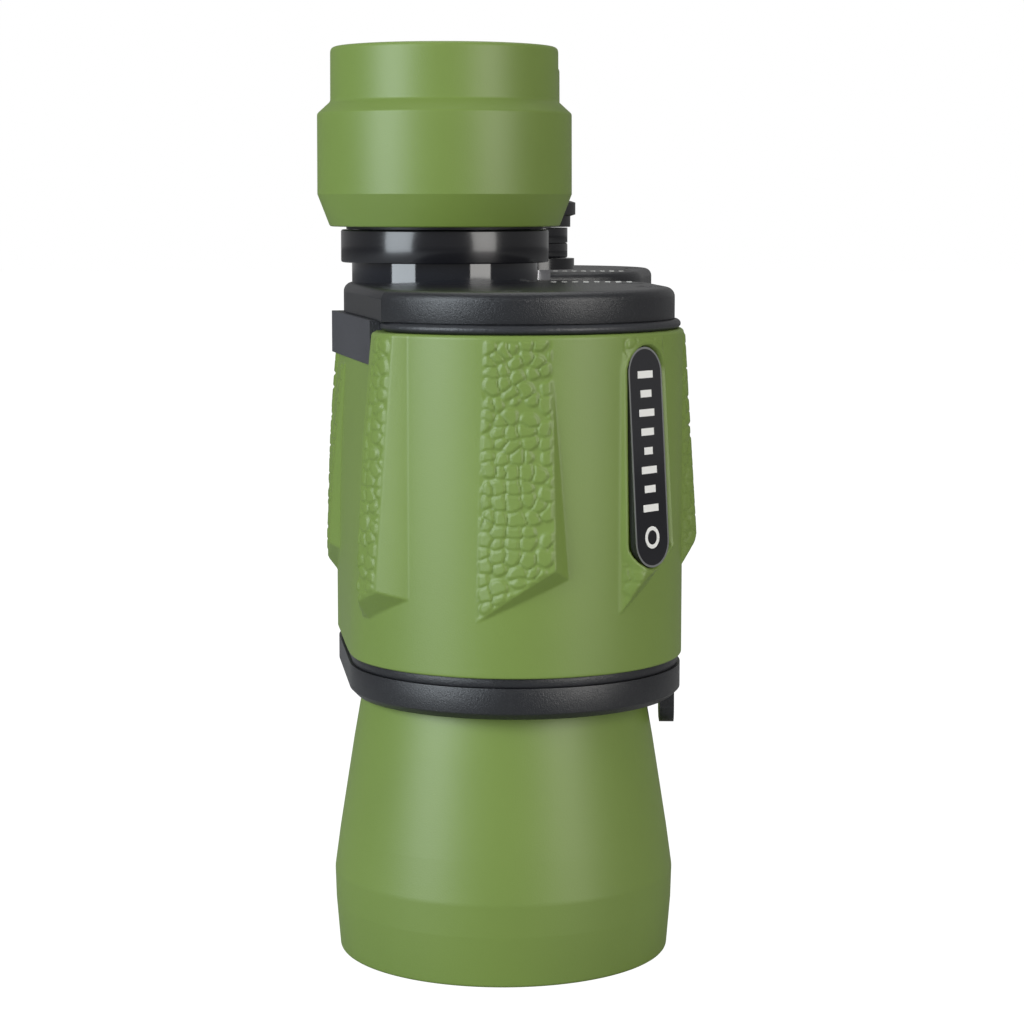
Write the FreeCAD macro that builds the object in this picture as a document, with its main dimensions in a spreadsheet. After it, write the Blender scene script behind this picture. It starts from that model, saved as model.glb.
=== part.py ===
"""Centre-focus Porro-prism binocular with rubber armour, standing on its two objective hoods.

Frame, in millimetres: +Z up towards the eyepieces, Z = 0 on the rims of the hoods,
+X towards the user's right barrel, +Y towards the user's top side.
The origin lies midway between the two objective axes, under the middle of the whole body.
Every right-hand piece is modelled, and its left-hand twin is its mirror image in the YZ plane.
"""

import FreeCAD, Part
import math
import os
import Sketcher

Vector = FreeCAD.Vector

SIZES = {
    # axes of the right barrel and the hinge
    "objective_offset": 58.0,
    "objective_side": 0.4,
    "eyepiece_offset": 33.0,
    "eyepiece_side": -9.95,
    "hinge_side": 3.0,
    # heights of the stacked pieces, from the hood's rim upwards
    "hood_height": 41.4,
    "ring_height": 4.9,
    "trim_height": 1.5,
    "armour_height": 51.5,
    "bead_height": 1.5,
    "plate_height": 4.9,
    "bridge_gap": 3.3,
    "bridge_height": 5.4,
    "eyecup_gap": 0.5,
    "eyecup_height": 29.4,
    # prism housing, seen along the axis as three lobes
    "lobe_shift": 1.8,
    "objective_lobe": 24.8,
    "eyepiece_lobe": 16.5,
    "prism_lobe": 17.0,
    "housing_wall": 1.4,
    "housing_floor": 2.5,
    "armour_skin": 1.8,
    "flank_corner": 77.9,
    "flank_side": -16.7,
    "flank_angle": 13.8,
    "flank_runout": 4.5,
    "shoulder_depth": 6.9,
    "shoulder_stand": 0.8,
    "shoulder_reach": 49.0,
    "shoulder_end": 10.5,
    # ribs of the armour: common section, then first angle, width and foot of each
    "ridge_rise": 2.3,
    "ridge_cut": 5.0,
    "corner_rib_start": -46.0,
    "corner_rib_width": 9.0,
    "corner_rib_foot": 58.0,
    "centre_rib_start": -8.0,
    "centre_rib_width": 22.0,
    "centre_rib_foot": 58.0,
    "badge_rib_start": 39.0,
    "badge_rib_width": 23.0,
    "badge_rib_foot": 58.0,
    "top_rib_start": 80.0,
    "top_rib_width": 25.0,
    "top_rib_foot": 62.0,
    "flank_rib_sink": 0.6,
    "flank_rib_start": -72.0,
    "flank_rib_width": 16.0,
    "flank_rib_foot": 60.0,
    "bottom_rib_start": -108.0,
    "bottom_rib_width": 24.0,
    "bottom_rib_foot": 64.0,
    # hood and objective
    "hood_rim": 26.3,
    "hood_swell": 27.1,
    "hood_swell_height": 13.0,
    "hood_neck": 22.6,
    "hood_mouth": 24.3,
    "objective_tube_radius": 21.4,
    "objective_tube_wall": 1.0,
    "objective_tube_front": 7.0,
    "lens_shoulder": 1.2,
    "lens_front": 9.6,
    "lens_thickness": 8.0,
    "lens_front_bulge": 1.2,
    "lens_back_bulge": 0.6,
    "retainer_height": 2.0,
    # front ring
    "ring_overhang": 1.6,
    "ring_chamfer": 1.0,
    "trim_overhang": 1.2,
    "tab_drop": 4.9,
    "tab_width": 8.0,
    "tab_thickness": 2.3,
    "tab_corner": 2.6,
    # cover plate
    "plate_overhang": 0.4,
    "plate_edge": 1.5,
    "bead_overhang": 0.8,
    "screw_head": 1.9,
    "screw_shank": 0.9,
    "screw_sink": 1.2,
    "screw_reach": 5.4,
    "boss_radius": 2.6,
    "boss_overlap": 0.4,
    "boss_height": 8.0,
    "boss_floor": 1.4,
    # prisms
    "prism_length": 35.0,
    "prism_width": 18.5,
    "shelf_thickness": 4.0,
    "shelf_level": 72.0,
    "beam_hole": 8.0,
    "clip_thickness": 0.5,
    "clip_width": 6.0,
    # ocular
    "tube_radius": 15.5,
    "tube_wall": 1.2,
    "tube_plunge": 8.7,
    "focus_in": 2.4,
    "bridge_ring": 17.3,
    "bridge_hub": 7.5,
    "bridge_web": 6.0,
    "ocular_radius": 16.4,
    "ocular_bore": 13.0,
    "ocular_height": 20.6,
    "ocular_eye_stop": 11.5,
    "ocular_lid": 1.6,
    "cup_foot": 19.1,
    "cup_body": 21.15,
    "cup_rim": 18.85,
    "cup_bevel_height": 5.3,
    "cup_body_height": 18.5,
    "cup_shoulder_height": 1.8,
    "cup_wall": 2.0,
    "cell_wall": 1.6,
    "cell_height": 12.0,
    "cell_travel": 2.0,
    "eye_outer_bulge": 0.9,
    "eye_inner_bulge": 0.4,
    # hinge and focusing
    "hinge_tube_radius": 6.5,
    "hinge_bore": 4.6,
    "hinge_hub": 10.5,
    "hinge_foot": 48.5,
    "lug_height": 7.0,
    "lug_web": 13.0,
    "washer_thickness": 0.5,
    "lug_spacing": 28.5,
    "hinge_rise": 9.3,
    "clip_level": 7.0,
    "groove_width": 1.5,
    "groove_depth": 0.5,
    "clip_pocket": 1.6,
    "wheel_radius": 14.0,
    "wheel_core": 12.0,
    "wheel_height": 10.5,
    "wheel_neck": 8.5,
    "wheel_neck_top": 103.5,
    "wheel_clearance": 0.5,
    "knurl_count": 36,
    "knurl_radius": 0.72,
    "spindle_radius": 4.5,
    "spindle_foot": 66.0,
    "spindle_stub": 1.5,
    "collar_radius": 8.7,
    "collar_height": 1.9,
    "cap_radius": 8.9,
    "cap_neck": 8.0,
    "cap_foot": 1.9,
    "cap_crown": 2.7,
    "socket_radius": 2.6,
    "socket_depth": 9.0,
    "socket_floor": 1.5,
    "flange_radius": 9.3,
    "flange_height": 1.9,
    # badge
    "badge_width": 8.0,
    "badge_length": 33.5,
    "badge_thickness": 1.0,
    "badge_sink": 0.6,
    "badge_low": 63.7,
    "badge_angle": 49.5,
    # clearances
    "fit_gap": 0.05,
    "seat_gap": 0.1,
    "free_gap": 0.3,
}

doc = FreeCAD.newDocument("binocular")
sheet = doc.addObject("Spreadsheet::Sheet", "Sizes")


class Size:
    """A number kept together with the sheet expression that gives it."""

    def __init__(self, number, text=None):
        self.number = float(number)
        self.text = text or repr(float(number))

    def join(self, sign, other, number):
        return Size(number, "(%s %s %s)" % (self.text, sign, other.text))

    def __add__(self, other):
        other = as_size(other)
        return self.join("+", other, self.number + other.number)

    def __sub__(self, other):
        other = as_size(other)
        return self.join("-", other, self.number - other.number)

    def __mul__(self, other):
        other = as_size(other)
        return self.join("*", other, self.number * other.number)

    def __truediv__(self, other):
        other = as_size(other)
        return self.join("/", other, self.number / other.number)

    def __neg__(self):
        return Size(0) - self


def as_size(value):
    return value if isinstance(value, Size) else Size(value)


def sine(angle):
    return Size(math.sin(math.radians(angle.number)), "sin(%s)" % angle.text)


def cosine(angle):
    return Size(math.cos(math.radians(angle.number)), "cos(%s)" % angle.text)


def heading(rise, run):
    angle = math.degrees(math.atan2(rise.number, run.number))
    return Size(angle, "atan2(%s; %s)" % (rise.text, run.text))


def fill_sheet():
    for row, name in enumerate(SIZES, start=1):
        sheet.set("A%d" % row, name)
        sheet.set("B%d" % row, str(SIZES[name]))
        sheet.setAlias("B%d" % row, name)
    doc.recompute()


class Sheet:
    """Reads a named cell of the sheet as a Size."""

    def __getattr__(self, name):
        return Size(sheet.get(name), "Sizes.%s" % name)


fill_sheet()
S = Sheet()

# heights at which the stacked pieces meet
RING_FOOT = S.hood_height
TRIM_FOOT = RING_FOOT + S.ring_height
ARMOUR_FOOT = TRIM_FOOT + S.trim_height
BEAD_FOOT = ARMOUR_FOOT + S.armour_height
PLATE_FOOT = BEAD_FOOT + S.bead_height
PLATE_TOP = PLATE_FOOT + S.plate_height
BRIDGE_FOOT = PLATE_TOP + S.bridge_gap
BRIDGE_TOP = BRIDGE_FOOT + S.bridge_height
CUP_FOOT = BRIDGE_TOP + S.eyecup_gap
CUP_TOP = CUP_FOOT + S.eyecup_height
SHELF_TOP = S.shelf_level + S.shelf_thickness

# axes on which pieces are turned, as (x, y)
OBJECTIVE = (S.objective_offset, S.objective_side)
EYEPIECE = (S.eyepiece_offset, S.eyepiece_side)
HINGE = (Size(0), S.hinge_side)
LOBE = (S.objective_offset, S.objective_side + S.lobe_shift)
# the folded light path turns a right angle at its middle leg
MIDDLE = (
    (OBJECTIVE[0] + EYEPIECE[0] + EYEPIECE[1] - OBJECTIVE[1]) / 2,
    (OBJECTIVE[1] + EYEPIECE[1] + OBJECTIVE[0] - EYEPIECE[0]) / 2,
)


# ---------------------------------------------------------------- helpers

def bind(thing, path, size):
    thing.setExpression(path, size.text)


def new_body(label):
    body = doc.addObject("PartDesign::Body", label)
    body.Label = label
    return body


def origin_plane(body, role):
    return [item for item in body.Origin.OriginFeatures if item.Role == role][0]


def new_sketch(body, name, role, level=None):
    sketch = body.newObject("Sketcher::SketchObject", name)
    sketch.AttachmentSupport = (origin_plane(body, role), [""])
    sketch.MapMode = "FlatFace"
    if level is not None:
        bind(sketch, ".AttachmentOffset.Base.z", level)
    return sketch


def fix_point(sketch, index, end, point):
    for kind, size in zip(("DistanceX", "DistanceY"), point):
        constraint = Sketcher.Constraint(kind, -1, 1, index, end, size.number)
        number = sketch.addConstraint(constraint)
        bind(sketch, "Constraints[%d]" % number, size)


def draw_polygon(sketch, points):
    """Straight-edged outline whose corners are each placed by the sheet."""
    points = [(as_size(across), as_size(up)) for across, up in points]
    count = len(points)
    for index, point in enumerate(points):
        following = points[(index + 1) % count]
        start = Vector(point[0].number, point[1].number, 0)
        end = Vector(following[0].number, following[1].number, 0)
        sketch.addGeometry(Part.LineSegment(start, end), False)
    for index in range(count):
        sketch.addConstraint(Sketcher.Constraint("Coincident", index, 2, (index + 1) % count, 1))
    for index, point in enumerate(points):
        fix_point(sketch, index, 1, point)


def draw_circle(sketch, centre, radius):
    middle = Vector(centre[0].number, centre[1].number, 0)
    circle = Part.Circle(middle, Vector(0, 0, 1), radius.number)
    index = sketch.addGeometry(circle, False)
    number = sketch.addConstraint(Sketcher.Constraint("Radius", index, radius.number))
    bind(sketch, "Constraints[%d]" % number, radius)
    fix_point(sketch, index, 3, centre)


def draw_hull(sketch, circles):
    """Outline of a tight band around circles (x, y, r), listed anticlockwise."""
    count = len(circles)
    normals = []
    for index in range(count):
        x1, y1, r1 = [size.number for size in circles[index]]
        x2, y2, r2 = [size.number for size in circles[(index + 1) % count]]
        along = math.atan2(y2 - y1, x2 - x1)
        lean = math.asin((r1 - r2) / math.hypot(x2 - x1, y2 - y1))
        normals.append(along - math.pi / 2 + lean)
    for index in range(count):
        x, y, r = [size.number for size in circles[index]]
        circle = Part.Circle(Vector(x, y, 0), Vector(0, 0, 1), r)
        arc = Part.ArcOfCircle(circle, normals[index - 1], normals[index])
        sketch.addGeometry(arc, False)
    for index in range(count):
        here = circles[index]
        following = circles[(index + 1) % count]
        out = Vector(math.cos(normals[index]), math.sin(normals[index]), 0)
        start = Vector(here[0].number, here[1].number, 0) + out * here[2].number
        end = Vector(following[0].number, following[1].number, 0) + out * following[2].number
        sketch.addGeometry(Part.LineSegment(start, end), False)
    for index in range(count):
        line = count + index
        sketch.addConstraint(Sketcher.Constraint("Tangent", index, 2, line, 1))
        sketch.addConstraint(Sketcher.Constraint("Tangent", line, 2, (index + 1) % count, 1))
    for index, (x, y, r) in enumerate(circles):
        fix_point(sketch, index, 3, (x, y))
        number = sketch.addConstraint(Sketcher.Constraint("Radius", index, r.number))
        bind(sketch, "Constraints[%d]" % number, r)


def lobes(growth):
    """The barrel's outline as three circles, grown by one distance all round."""
    return [
        (LOBE[0], LOBE[1], S.objective_lobe + growth),
        (MIDDLE[0], MIDDLE[1], S.prism_lobe + growth),
        (EYEPIECE[0], EYEPIECE[1], S.eyepiece_lobe + growth),
    ]


def pad(body, sketch, height, name="pad", both_ways=False):
    feature = body.newObject("PartDesign::Pad", name)
    feature.Profile = sketch
    feature.Midplane = both_ways
    bind(feature, "Length", as_size(height))
    return feature


def pocket_up(body, sketch, depth, name="pocket"):
    """Cuts from the sketch towards +Z."""
    feature = body.newObject("PartDesign::Pocket", name)
    feature.Profile = sketch
    feature.Reversed = True
    bind(feature, "Length", as_size(depth))
    return feature


def bore(body, centre, radius, foot, depth, name):
    sketch = new_sketch(body, name + "_sketch", "XY_Plane", foot)
    draw_circle(sketch, centre, radius)
    return pocket_up(body, sketch, depth, name)


def place(thing, axis, turn=None):
    """Stands a piece on a vertical axis (x, y), turned about it by an angle."""
    if turn is not None:
        thing.Placement.Rotation = FreeCAD.Rotation(Vector(0, 0, 1), 1)
        bind(thing, ".Placement.Rotation.Angle", turn)
    bind(thing, ".Placement.Base.x", axis[0])
    bind(thing, ".Placement.Base.y", axis[1])


def turned(label, points, axis):
    """A body of revolution from its half section, given as (radius, height)."""
    body = new_body(label)
    sketch = new_sketch(body, label + "_section", "XZ_Plane")
    draw_polygon(sketch, points)
    revolution = body.newObject("PartDesign::Revolution", label + "_turned")
    revolution.Profile = sketch
    revolution.ReferenceAxis = (sketch, ["V_Axis"])
    revolution.Angle = 360
    place(body, axis)
    return body


def outline_block(label, growth, foot, height):
    """A block with the barrel's three-lobed outline."""
    body = new_body(label)
    sketch = new_sketch(body, label + "_outline", "XY_Plane", foot)
    draw_hull(sketch, lobes(growth))
    pad(body, sketch, height, label + "_pad")
    return body


def cut(label, base, tool):
    result = doc.addObject("Part::Cut", label)
    result.Base = base
    result.Tool = tool
    result.Label = label
    return result


def fuse(label, shapes):
    result = doc.addObject("Part::MultiFuse", label)
    result.Shapes = shapes
    result.Label = label
    return result


def mirrored(label, source):
    """The left-hand twin of a right-hand piece."""
    result = doc.addObject("Part::Mirroring", label)
    result.Source = source
    result.Normal = Vector(1, 0, 0)
    result.Base = Vector(0, 0, 0)
    result.Label = label
    return result


def edge_names(shape, wanted):
    return ["Edge%d" % (number + 1) for number, edge in enumerate(shape.Edges) if wanted(edge)]


def round_edges(body, base, wanted, radius, kind="Fillet", path="Radius"):
    doc.recompute()
    feature = body.newObject("PartDesign::" + kind, body.Label + "_" + kind.lower())
    feature.Base = (base, edge_names(base.Shape, wanted))
    bind(feature, path, radius)
    return feature


def lies_at(level):
    return lambda edge: (abs(edge.BoundBox.ZMin - level.number) < 1e-4
                         and abs(edge.BoundBox.ZMax - level.number) < 1e-4)


# ---------------------------------------------------------------- flank of the barrel

def flank_wedge(label, inset, foot, top, runout):
    """The waste beyond the slanted thumb flank, set in from the armour's face."""
    body = new_body(label)
    sketch = new_sketch(body, label + "_section", "YZ_Plane")
    reach = S.objective_offset * 2
    draw_polygon(sketch, [
        (inset, top), (-reach, top), (-reach, foot), (inset - runout, foot)])
    pad(body, sketch, reach * 3, label + "_pad", both_ways=True)
    place(body, (S.flank_corner, S.flank_side), S.flank_angle)
    return body


def shoulder_block(label, margin):
    """The casting's bare shoulder on the flank, just under the cover plate."""
    body = new_body(label)
    foot = PLATE_FOOT - S.shoulder_depth - margin
    sketch = new_sketch(body, label + "_sketch", "XY_Plane", foot)
    start = -S.shoulder_reach - margin
    end = -S.shoulder_end + margin
    out = -S.shoulder_stand - margin
    inner = S.armour_skin + S.housing_wall
    draw_polygon(sketch, [(start, out), (end, out), (end, inner), (start, inner)])
    pad(body, sketch, S.shoulder_depth + margin, label + "_pad")
    place(body, (S.flank_corner, S.flank_side), S.flank_angle)
    return body


# ---------------------------------------------------------------- prism housing

def lug_level(pair, upper):
    """Foot of one hinge lug: the right barrel holds the upper lug of each pair."""
    foot = S.hinge_foot + S.lug_spacing * pair
    return foot + S.lug_height + S.washer_thickness if upper else foot


def hinge_lug(label, side, foot):
    """Hub around the hinge tube with a web to the housing; side is +1 right, -1 left."""
    body = new_body(label)
    disc = new_sketch(body, label + "_hub", "XY_Plane", foot)
    draw_circle(disc, HINGE, S.hinge_hub)
    pad(body, disc, S.lug_height, label + "_hub_pad")
    web = new_sketch(body, label + "_web", "XY_Plane", foot)
    half = S.lug_web / 2
    reach = S.eyepiece_offset * side
    corners = [(Size(0), HINGE[1] - half), (reach, HINGE[1] - half),
               (reach, HINGE[1] + half), (Size(0), HINGE[1] + half)]
    draw_polygon(web, corners if side > 0 else corners[::-1])
    pad(body, web, S.lug_height, label + "_web_pad")
    hole = S.hinge_tube_radius if side > 0 else S.hinge_tube_radius + S.fit_gap
    bore(body, HINGE, hole, foot, S.lug_height, label + "_bore")
    return body


def prism_housing():
    """Right and left castings: three-lobed shell, floor for the objective, hinge lugs."""
    top = PLATE_FOOT
    solid = outline_block("housing_outside", Size(0), ARMOUR_FOOT, PLATE_FOOT - ARMOUR_FOOT)
    wedge = flank_wedge("housing_flank", S.armour_skin, ARMOUR_FOOT, top, S.flank_runout)
    slanted = cut("housing_slanted", solid, wedge)
    shoulder = shoulder_block("shoulder", Size(0))
    floor = ARMOUR_FOOT + S.housing_floor
    hollow = outline_block("housing_inside", -S.housing_wall, floor, top - floor)
    inner_wedge = flank_wedge("cavity_flank", S.armour_skin + S.housing_wall,
                              ARMOUR_FOOT, top, S.flank_runout)
    cavity = cut("housing_cavity", hollow, inner_wedge)
    throat = new_body("housing_throat")
    sketch = new_sketch(throat, "throat_sketch", "XY_Plane", ARMOUR_FOOT)
    draw_circle(sketch, OBJECTIVE, S.objective_tube_radius + S.fit_gap)
    pad(throat, sketch, S.housing_floor, "throat_pad")
    well = new_body("ocular_well")
    well_foot = PLATE_TOP - S.tube_plunge - S.focus_in - S.free_gap
    sketch = new_sketch(well, "well_sketch", "XY_Plane", well_foot)
    draw_circle(sketch, EYEPIECE, S.tube_radius + S.free_gap)
    pad(well, sketch, PLATE_FOOT - well_foot, "well_pad")
    space = fuse("housing_space", [cavity, throat, well])
    lugs = {1: [], -1: []}
    for side in lugs:
        for pair in (0, 1):
            name = "%s_lug_%d" % ("right" if side > 0 else "left", pair)
            lugs[side].append(hinge_lug(name, side, lug_level(pair, side > 0)))
    bosses = fuse("screw_bosses", screw_bosses())
    right_solid = fuse("right_casting", [slanted, shoulder] + lugs[1])
    fuse("right_prism_housing", [cut("right_hollow_casting", right_solid, space), bosses])
    left_shell = mirrored("left_shell", fuse("bare_casting", [slanted, shoulder]))
    left_solid = fuse("left_casting", [left_shell] + lugs[-1])
    left_hollow = cut("left_hollow_casting", left_solid, mirrored("left_space", space))
    fuse("left_prism_housing", [left_hollow, mirrored("left_bosses", bosses)])


# ---------------------------------------------------------------- armour

def ridge(label, axis, lobe):
    """A raised rib that starts flush at the top and stands proud at its lower end."""
    body = new_body(label)
    foot = getattr(S, label + "_foot")
    sketch = new_sketch(body, label + "_section", "XZ_Plane")
    skin = lobe + S.armour_skin
    root = skin - S.armour_skin / 2
    draw_polygon(sketch, [
        (root, foot), (skin, foot), (skin + S.ridge_rise, foot + S.ridge_cut),
        (skin + S.seat_gap, BEAD_FOOT), (root, BEAD_FOOT)])
    revolution = body.newObject("PartDesign::Revolution", label + "_turned")
    revolution.Profile = sketch
    revolution.ReferenceAxis = (sketch, ["V_Axis"])
    bind(revolution, "Angle", getattr(S, label + "_width"))
    place(body, axis, getattr(S, label + "_start"))
    return body


def badge_plate(label, margin, lift, thickness):
    """The badge's rounded plate, leaning with the face of the rib that carries it."""
    body = new_body(label)
    sketch = new_sketch(body, label + "_section", "XZ_Plane")
    low = S.badge_low - margin
    high = S.badge_low + S.badge_length + margin
    skin = S.objective_lobe + S.armour_skin
    slope = S.ridge_rise / (BEAD_FOOT - S.badge_low)
    face_low = skin + S.ridge_rise - lift
    face_high = skin + slope * (BEAD_FOOT - high) - lift
    draw_polygon(sketch, [
        (face_low - thickness, low), (face_low, low),
        (face_high, high), (face_high - thickness, high)])
    width = S.badge_width + margin * 2
    plate = pad(body, sketch, width, label + "_pad", both_ways=True)
    radial = lambda edge: edge.BoundBox.YLength < 1e-4 and edge.BoundBox.ZLength < 1e-3
    round_edges(body, plate, radial, width / 2 - S.fit_gap)
    place(body, LOBE, S.badge_angle)
    return body


def armour():
    """Moulded rubber skin with its ribs; it leaves the hinge side of the casting bare."""
    outside = outline_block("armour_outside", S.armour_skin, ARMOUR_FOOT, S.armour_height)
    wedge = flank_wedge("armour_flank", Size(0), ARMOUR_FOOT, PLATE_FOOT, S.flank_runout)
    slanted = cut("armour_slanted", outside, wedge)
    ribs = []
    for label in ("corner_rib", "centre_rib", "badge_rib", "top_rib"):
        ribs.append(ridge(label, LOBE, S.objective_lobe))
    for label in ("flank_rib", "bottom_rib"):
        ribs.append(ridge(label, EYEPIECE, S.eyepiece_lobe - S.flank_rib_sink))
    ribbed = fuse("armour_ribbed", [slanted] + ribs)
    inside = outline_block("armour_inside", S.fit_gap, ARMOUR_FOOT, S.armour_height)
    inner_wedge = flank_wedge("armour_lining_flank", S.armour_skin - S.fit_gap,
                              ARMOUR_FOOT, PLATE_FOOT, S.flank_runout)
    lining = cut("armour_lining", inside, inner_wedge)
    window = new_body("armour_window")
    sketch = new_sketch(window, "window_sketch", "XY_Plane", ARMOUR_FOOT)
    half = S.lug_web / 2 + S.free_gap
    low = HINGE[1] - half
    high = HINGE[1] + half
    draw_polygon(sketch, [(Size(0), low), (MIDDLE[0], low), (MIDDLE[0], high), (Size(0), high)])
    top = lug_level(1, True) + S.lug_height + S.free_gap
    pad(window, sketch, top - ARMOUR_FOOT, "window_pad")
    recess_depth = S.ridge_rise + S.badge_sink + S.badge_thickness + S.seat_gap
    recess = badge_plate("badge_recess", S.seat_gap, -S.ridge_rise, recess_depth)
    shoulder_space = shoulder_block("shoulder_space", S.seat_gap)
    waste = fuse("armour_waste", [lining, window, shoulder_space, recess])
    cut("right_armour", ribbed, waste)


def badge():
    badge_plate("right_badge", Size(0), S.badge_sink, S.badge_thickness)


# ---------------------------------------------------------------- front end

def front_ring():
    """Satin ring behind the hood, with the tab that hangs under it on the top side."""
    block = outline_block("ring_body", S.ring_overhang, RING_FOOT, S.ring_height)
    round_edges(block, block.Tip, lies_at(RING_FOOT), S.ring_chamfer, "Chamfer", "Size")
    bore_radius = S.objective_tube_radius + S.fit_gap
    bore(block, OBJECTIVE, bore_radius, RING_FOOT, S.ring_height, "ring_bore")
    tab = new_body("ring_tab")
    sketch = new_sketch(tab, "tab_sketch", "XY_Plane", RING_FOOT - S.tab_drop)
    outer = LOBE[1] + S.objective_lobe + S.ring_overhang - S.ring_chamfer
    left = OBJECTIVE[0] - S.tab_width / 2
    right = OBJECTIVE[0] + S.tab_width / 2
    draw_polygon(sketch, [(left, outer - S.tab_thickness), (right, outer - S.tab_thickness),
                          (right, outer), (left, outer)])
    plate = pad(tab, sketch, S.tab_drop + S.ring_height / 2, "tab_pad")
    low = lies_at(RING_FOOT - S.tab_drop)
    corner = lambda edge: low(edge) and edge.BoundBox.XLength < 1e-4
    round_edges(tab, plate, corner, S.tab_corner)
    fuse("right_front_ring", [block, tab])


def front_trim():
    trim = outline_block("right_front_trim", S.trim_overhang, TRIM_FOOT, S.trim_height)
    bore_radius = S.objective_tube_radius + S.fit_gap
    bore(trim, OBJECTIVE, bore_radius, TRIM_FOOT, S.trim_height, "trim_bore")


def hood():
    """Rubber lens hood: flares towards its rim, open at the front."""
    inner = S.objective_tube_radius + S.seat_gap
    flare = S.objective_tube_front - S.free_gap
    turned("right_hood", [
        (S.hood_mouth, 0), (S.hood_rim, 0), (S.hood_swell, S.hood_swell_height),
        (S.hood_neck, S.hood_height), (inner, S.hood_height), (inner, flare)], OBJECTIVE)


def objective():
    """Barrel tube screwed into the casting, with the doublet held by a threaded ring."""
    outer = S.objective_tube_radius
    seat = outer - S.objective_tube_wall
    narrow = seat - S.lens_shoulder
    front = S.objective_tube_front
    lens_top = S.lens_front + S.lens_thickness
    top = ARMOUR_FOOT + S.housing_floor
    turned("right_objective_tube", [
        (seat, front), (outer, front), (outer, top), (narrow, top),
        (narrow, lens_top), (seat, lens_top)], OBJECTIVE)
    rim = seat - S.fit_gap
    retainer_front = S.lens_front - S.retainer_height
    turned("right_lens_retaining_ring", [
        (narrow, retainer_front), (rim, retainer_front),
        (rim, S.lens_front), (narrow, S.lens_front)], OBJECTIVE)
    lens("right_objective_lens", OBJECTIVE, rim, (S.lens_front, lens_top),
         (S.lens_front_bulge, S.lens_back_bulge))


def lens(label, axis, radius, ends, bulges):
    """A lens with two spherical faces and a ground cylindrical rim."""
    body = new_body(label)
    sketch = new_sketch(body, label + "_section", "XZ_Plane")
    foot, top = ends
    low = foot + bulges[0]
    high = top - bulges[1]
    chord_point = lambda level: Vector(radius.number, level.number, 0)
    bottom = Vector(0, foot.number, 0)
    summit = Vector(0, top.number, 0)
    lower_arc = cap_arc(bottom, chord_point(low))
    upper_arc = cap_arc(summit, chord_point(high))
    sketch.addGeometry(lower_arc, False)
    sketch.addGeometry(Part.LineSegment(chord_point(low), chord_point(high)), False)
    sketch.addGeometry(upper_arc, False)
    sketch.addGeometry(Part.LineSegment(summit, bottom), False)
    centre_low, rim_low = (1, 2) if lower_arc.StartPoint.x < 1e-6 else (2, 1)
    centre_high, rim_high = (1, 2) if upper_arc.StartPoint.x < 1e-6 else (2, 1)
    joints = ((0, rim_low, 1, 1), (1, 2, 2, rim_high),
              (2, centre_high, 3, 1), (3, 2, 0, centre_low))
    for joint in joints:
        sketch.addConstraint(Sketcher.Constraint("Coincident", *joint))
    fix_point(sketch, 3, 1, (Size(0), top))
    fix_point(sketch, 3, 2, (Size(0), foot))
    fix_point(sketch, 1, 1, (radius, low))
    fix_point(sketch, 1, 2, (radius, high))
    sketch.addConstraint(Sketcher.Constraint("PointOnObject", 0, 3, -2))
    sketch.addConstraint(Sketcher.Constraint("PointOnObject", 2, 3, -2))
    revolution = body.newObject("PartDesign::Revolution", label + "_turned")
    revolution.Profile = sketch
    revolution.ReferenceAxis = (sketch, ["V_Axis"])
    revolution.Angle = 360
    place(body, axis)
    return body


def cap_arc(summit, rim):
    """Arc from a point on the axis to the rim, square to the axis at its summit."""
    rise = rim.y - summit.y
    radius = (rim.x ** 2 + rise ** 2) / (2 * rise)
    centre = Vector(0, summit.y + radius, 0)
    circle = Part.Circle(centre, Vector(0, 0, 1), abs(radius))
    first = math.atan2(summit.y - centre.y, 0)
    last = math.atan2(rim.y - centre.y, rim.x)
    return Part.ArcOfCircle(circle, min(first, last), max(first, last))


# ---------------------------------------------------------------- cover plate

def cover_bead():
    overhang = S.plate_overhang + S.bead_overhang
    ring = outline_block("bead_outside", overhang, BEAD_FOOT, S.bead_height)
    inside = outline_block("bead_inside", S.fit_gap, BEAD_FOOT, S.bead_height)
    wedge = flank_wedge("bead_flank", -S.bead_overhang / 2, BEAD_FOOT, PLATE_FOOT, Size(0))
    inner_wedge = flank_wedge("bead_lining_flank", S.armour_skin - S.fit_gap,
                              ARMOUR_FOOT, PLATE_FOOT, S.flank_runout)
    lining = cut("bead_lining", inside, inner_wedge)
    gap = shoulder_block("bead_gap", S.seat_gap)
    waste = fuse("bead_waste", [lining, wedge, gap])
    cut("right_cover_bead", ring, waste)


def cover_plate():
    """Flat cast cover with the running hole for the ocular tube."""
    plate = outline_block("right_cover_plate", S.plate_overhang, PLATE_FOOT, S.plate_height)
    sketch = new_sketch(plate, "plate_flank", "XY_Plane", PLATE_FOOT)
    slope = sine(S.flank_angle) / cosine(S.flank_angle)
    reach = S.objective_offset
    right = (S.flank_corner + reach, S.flank_side + slope * reach)
    left = (S.flank_corner - reach * 2, S.flank_side - slope * reach * 2)
    draw_polygon(sketch, [left, (left[0], -reach * 2), (right[0], -reach * 2), right])
    flank = pocket_up(plate, sketch, S.plate_height, "plate_flank_cut")
    round_edges(plate, flank, lies_at(PLATE_TOP), S.plate_edge)
    bore(plate, EYEPIECE, S.tube_radius + S.fit_gap, PLATE_FOOT, S.plate_height, "plate_bore")
    shank_hole = S.screw_shank + S.fit_gap
    head_hole = S.screw_head + S.seat_gap
    seat = PLATE_TOP - S.screw_sink
    for number, spot in enumerate(screw_spots()):
        bore(plate, spot, shank_hole, PLATE_FOOT, S.plate_height, "screw_bore_%d" % number)
        bore(plate, spot, head_hole, seat, S.screw_sink, "screw_seat_%d" % number)


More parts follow.
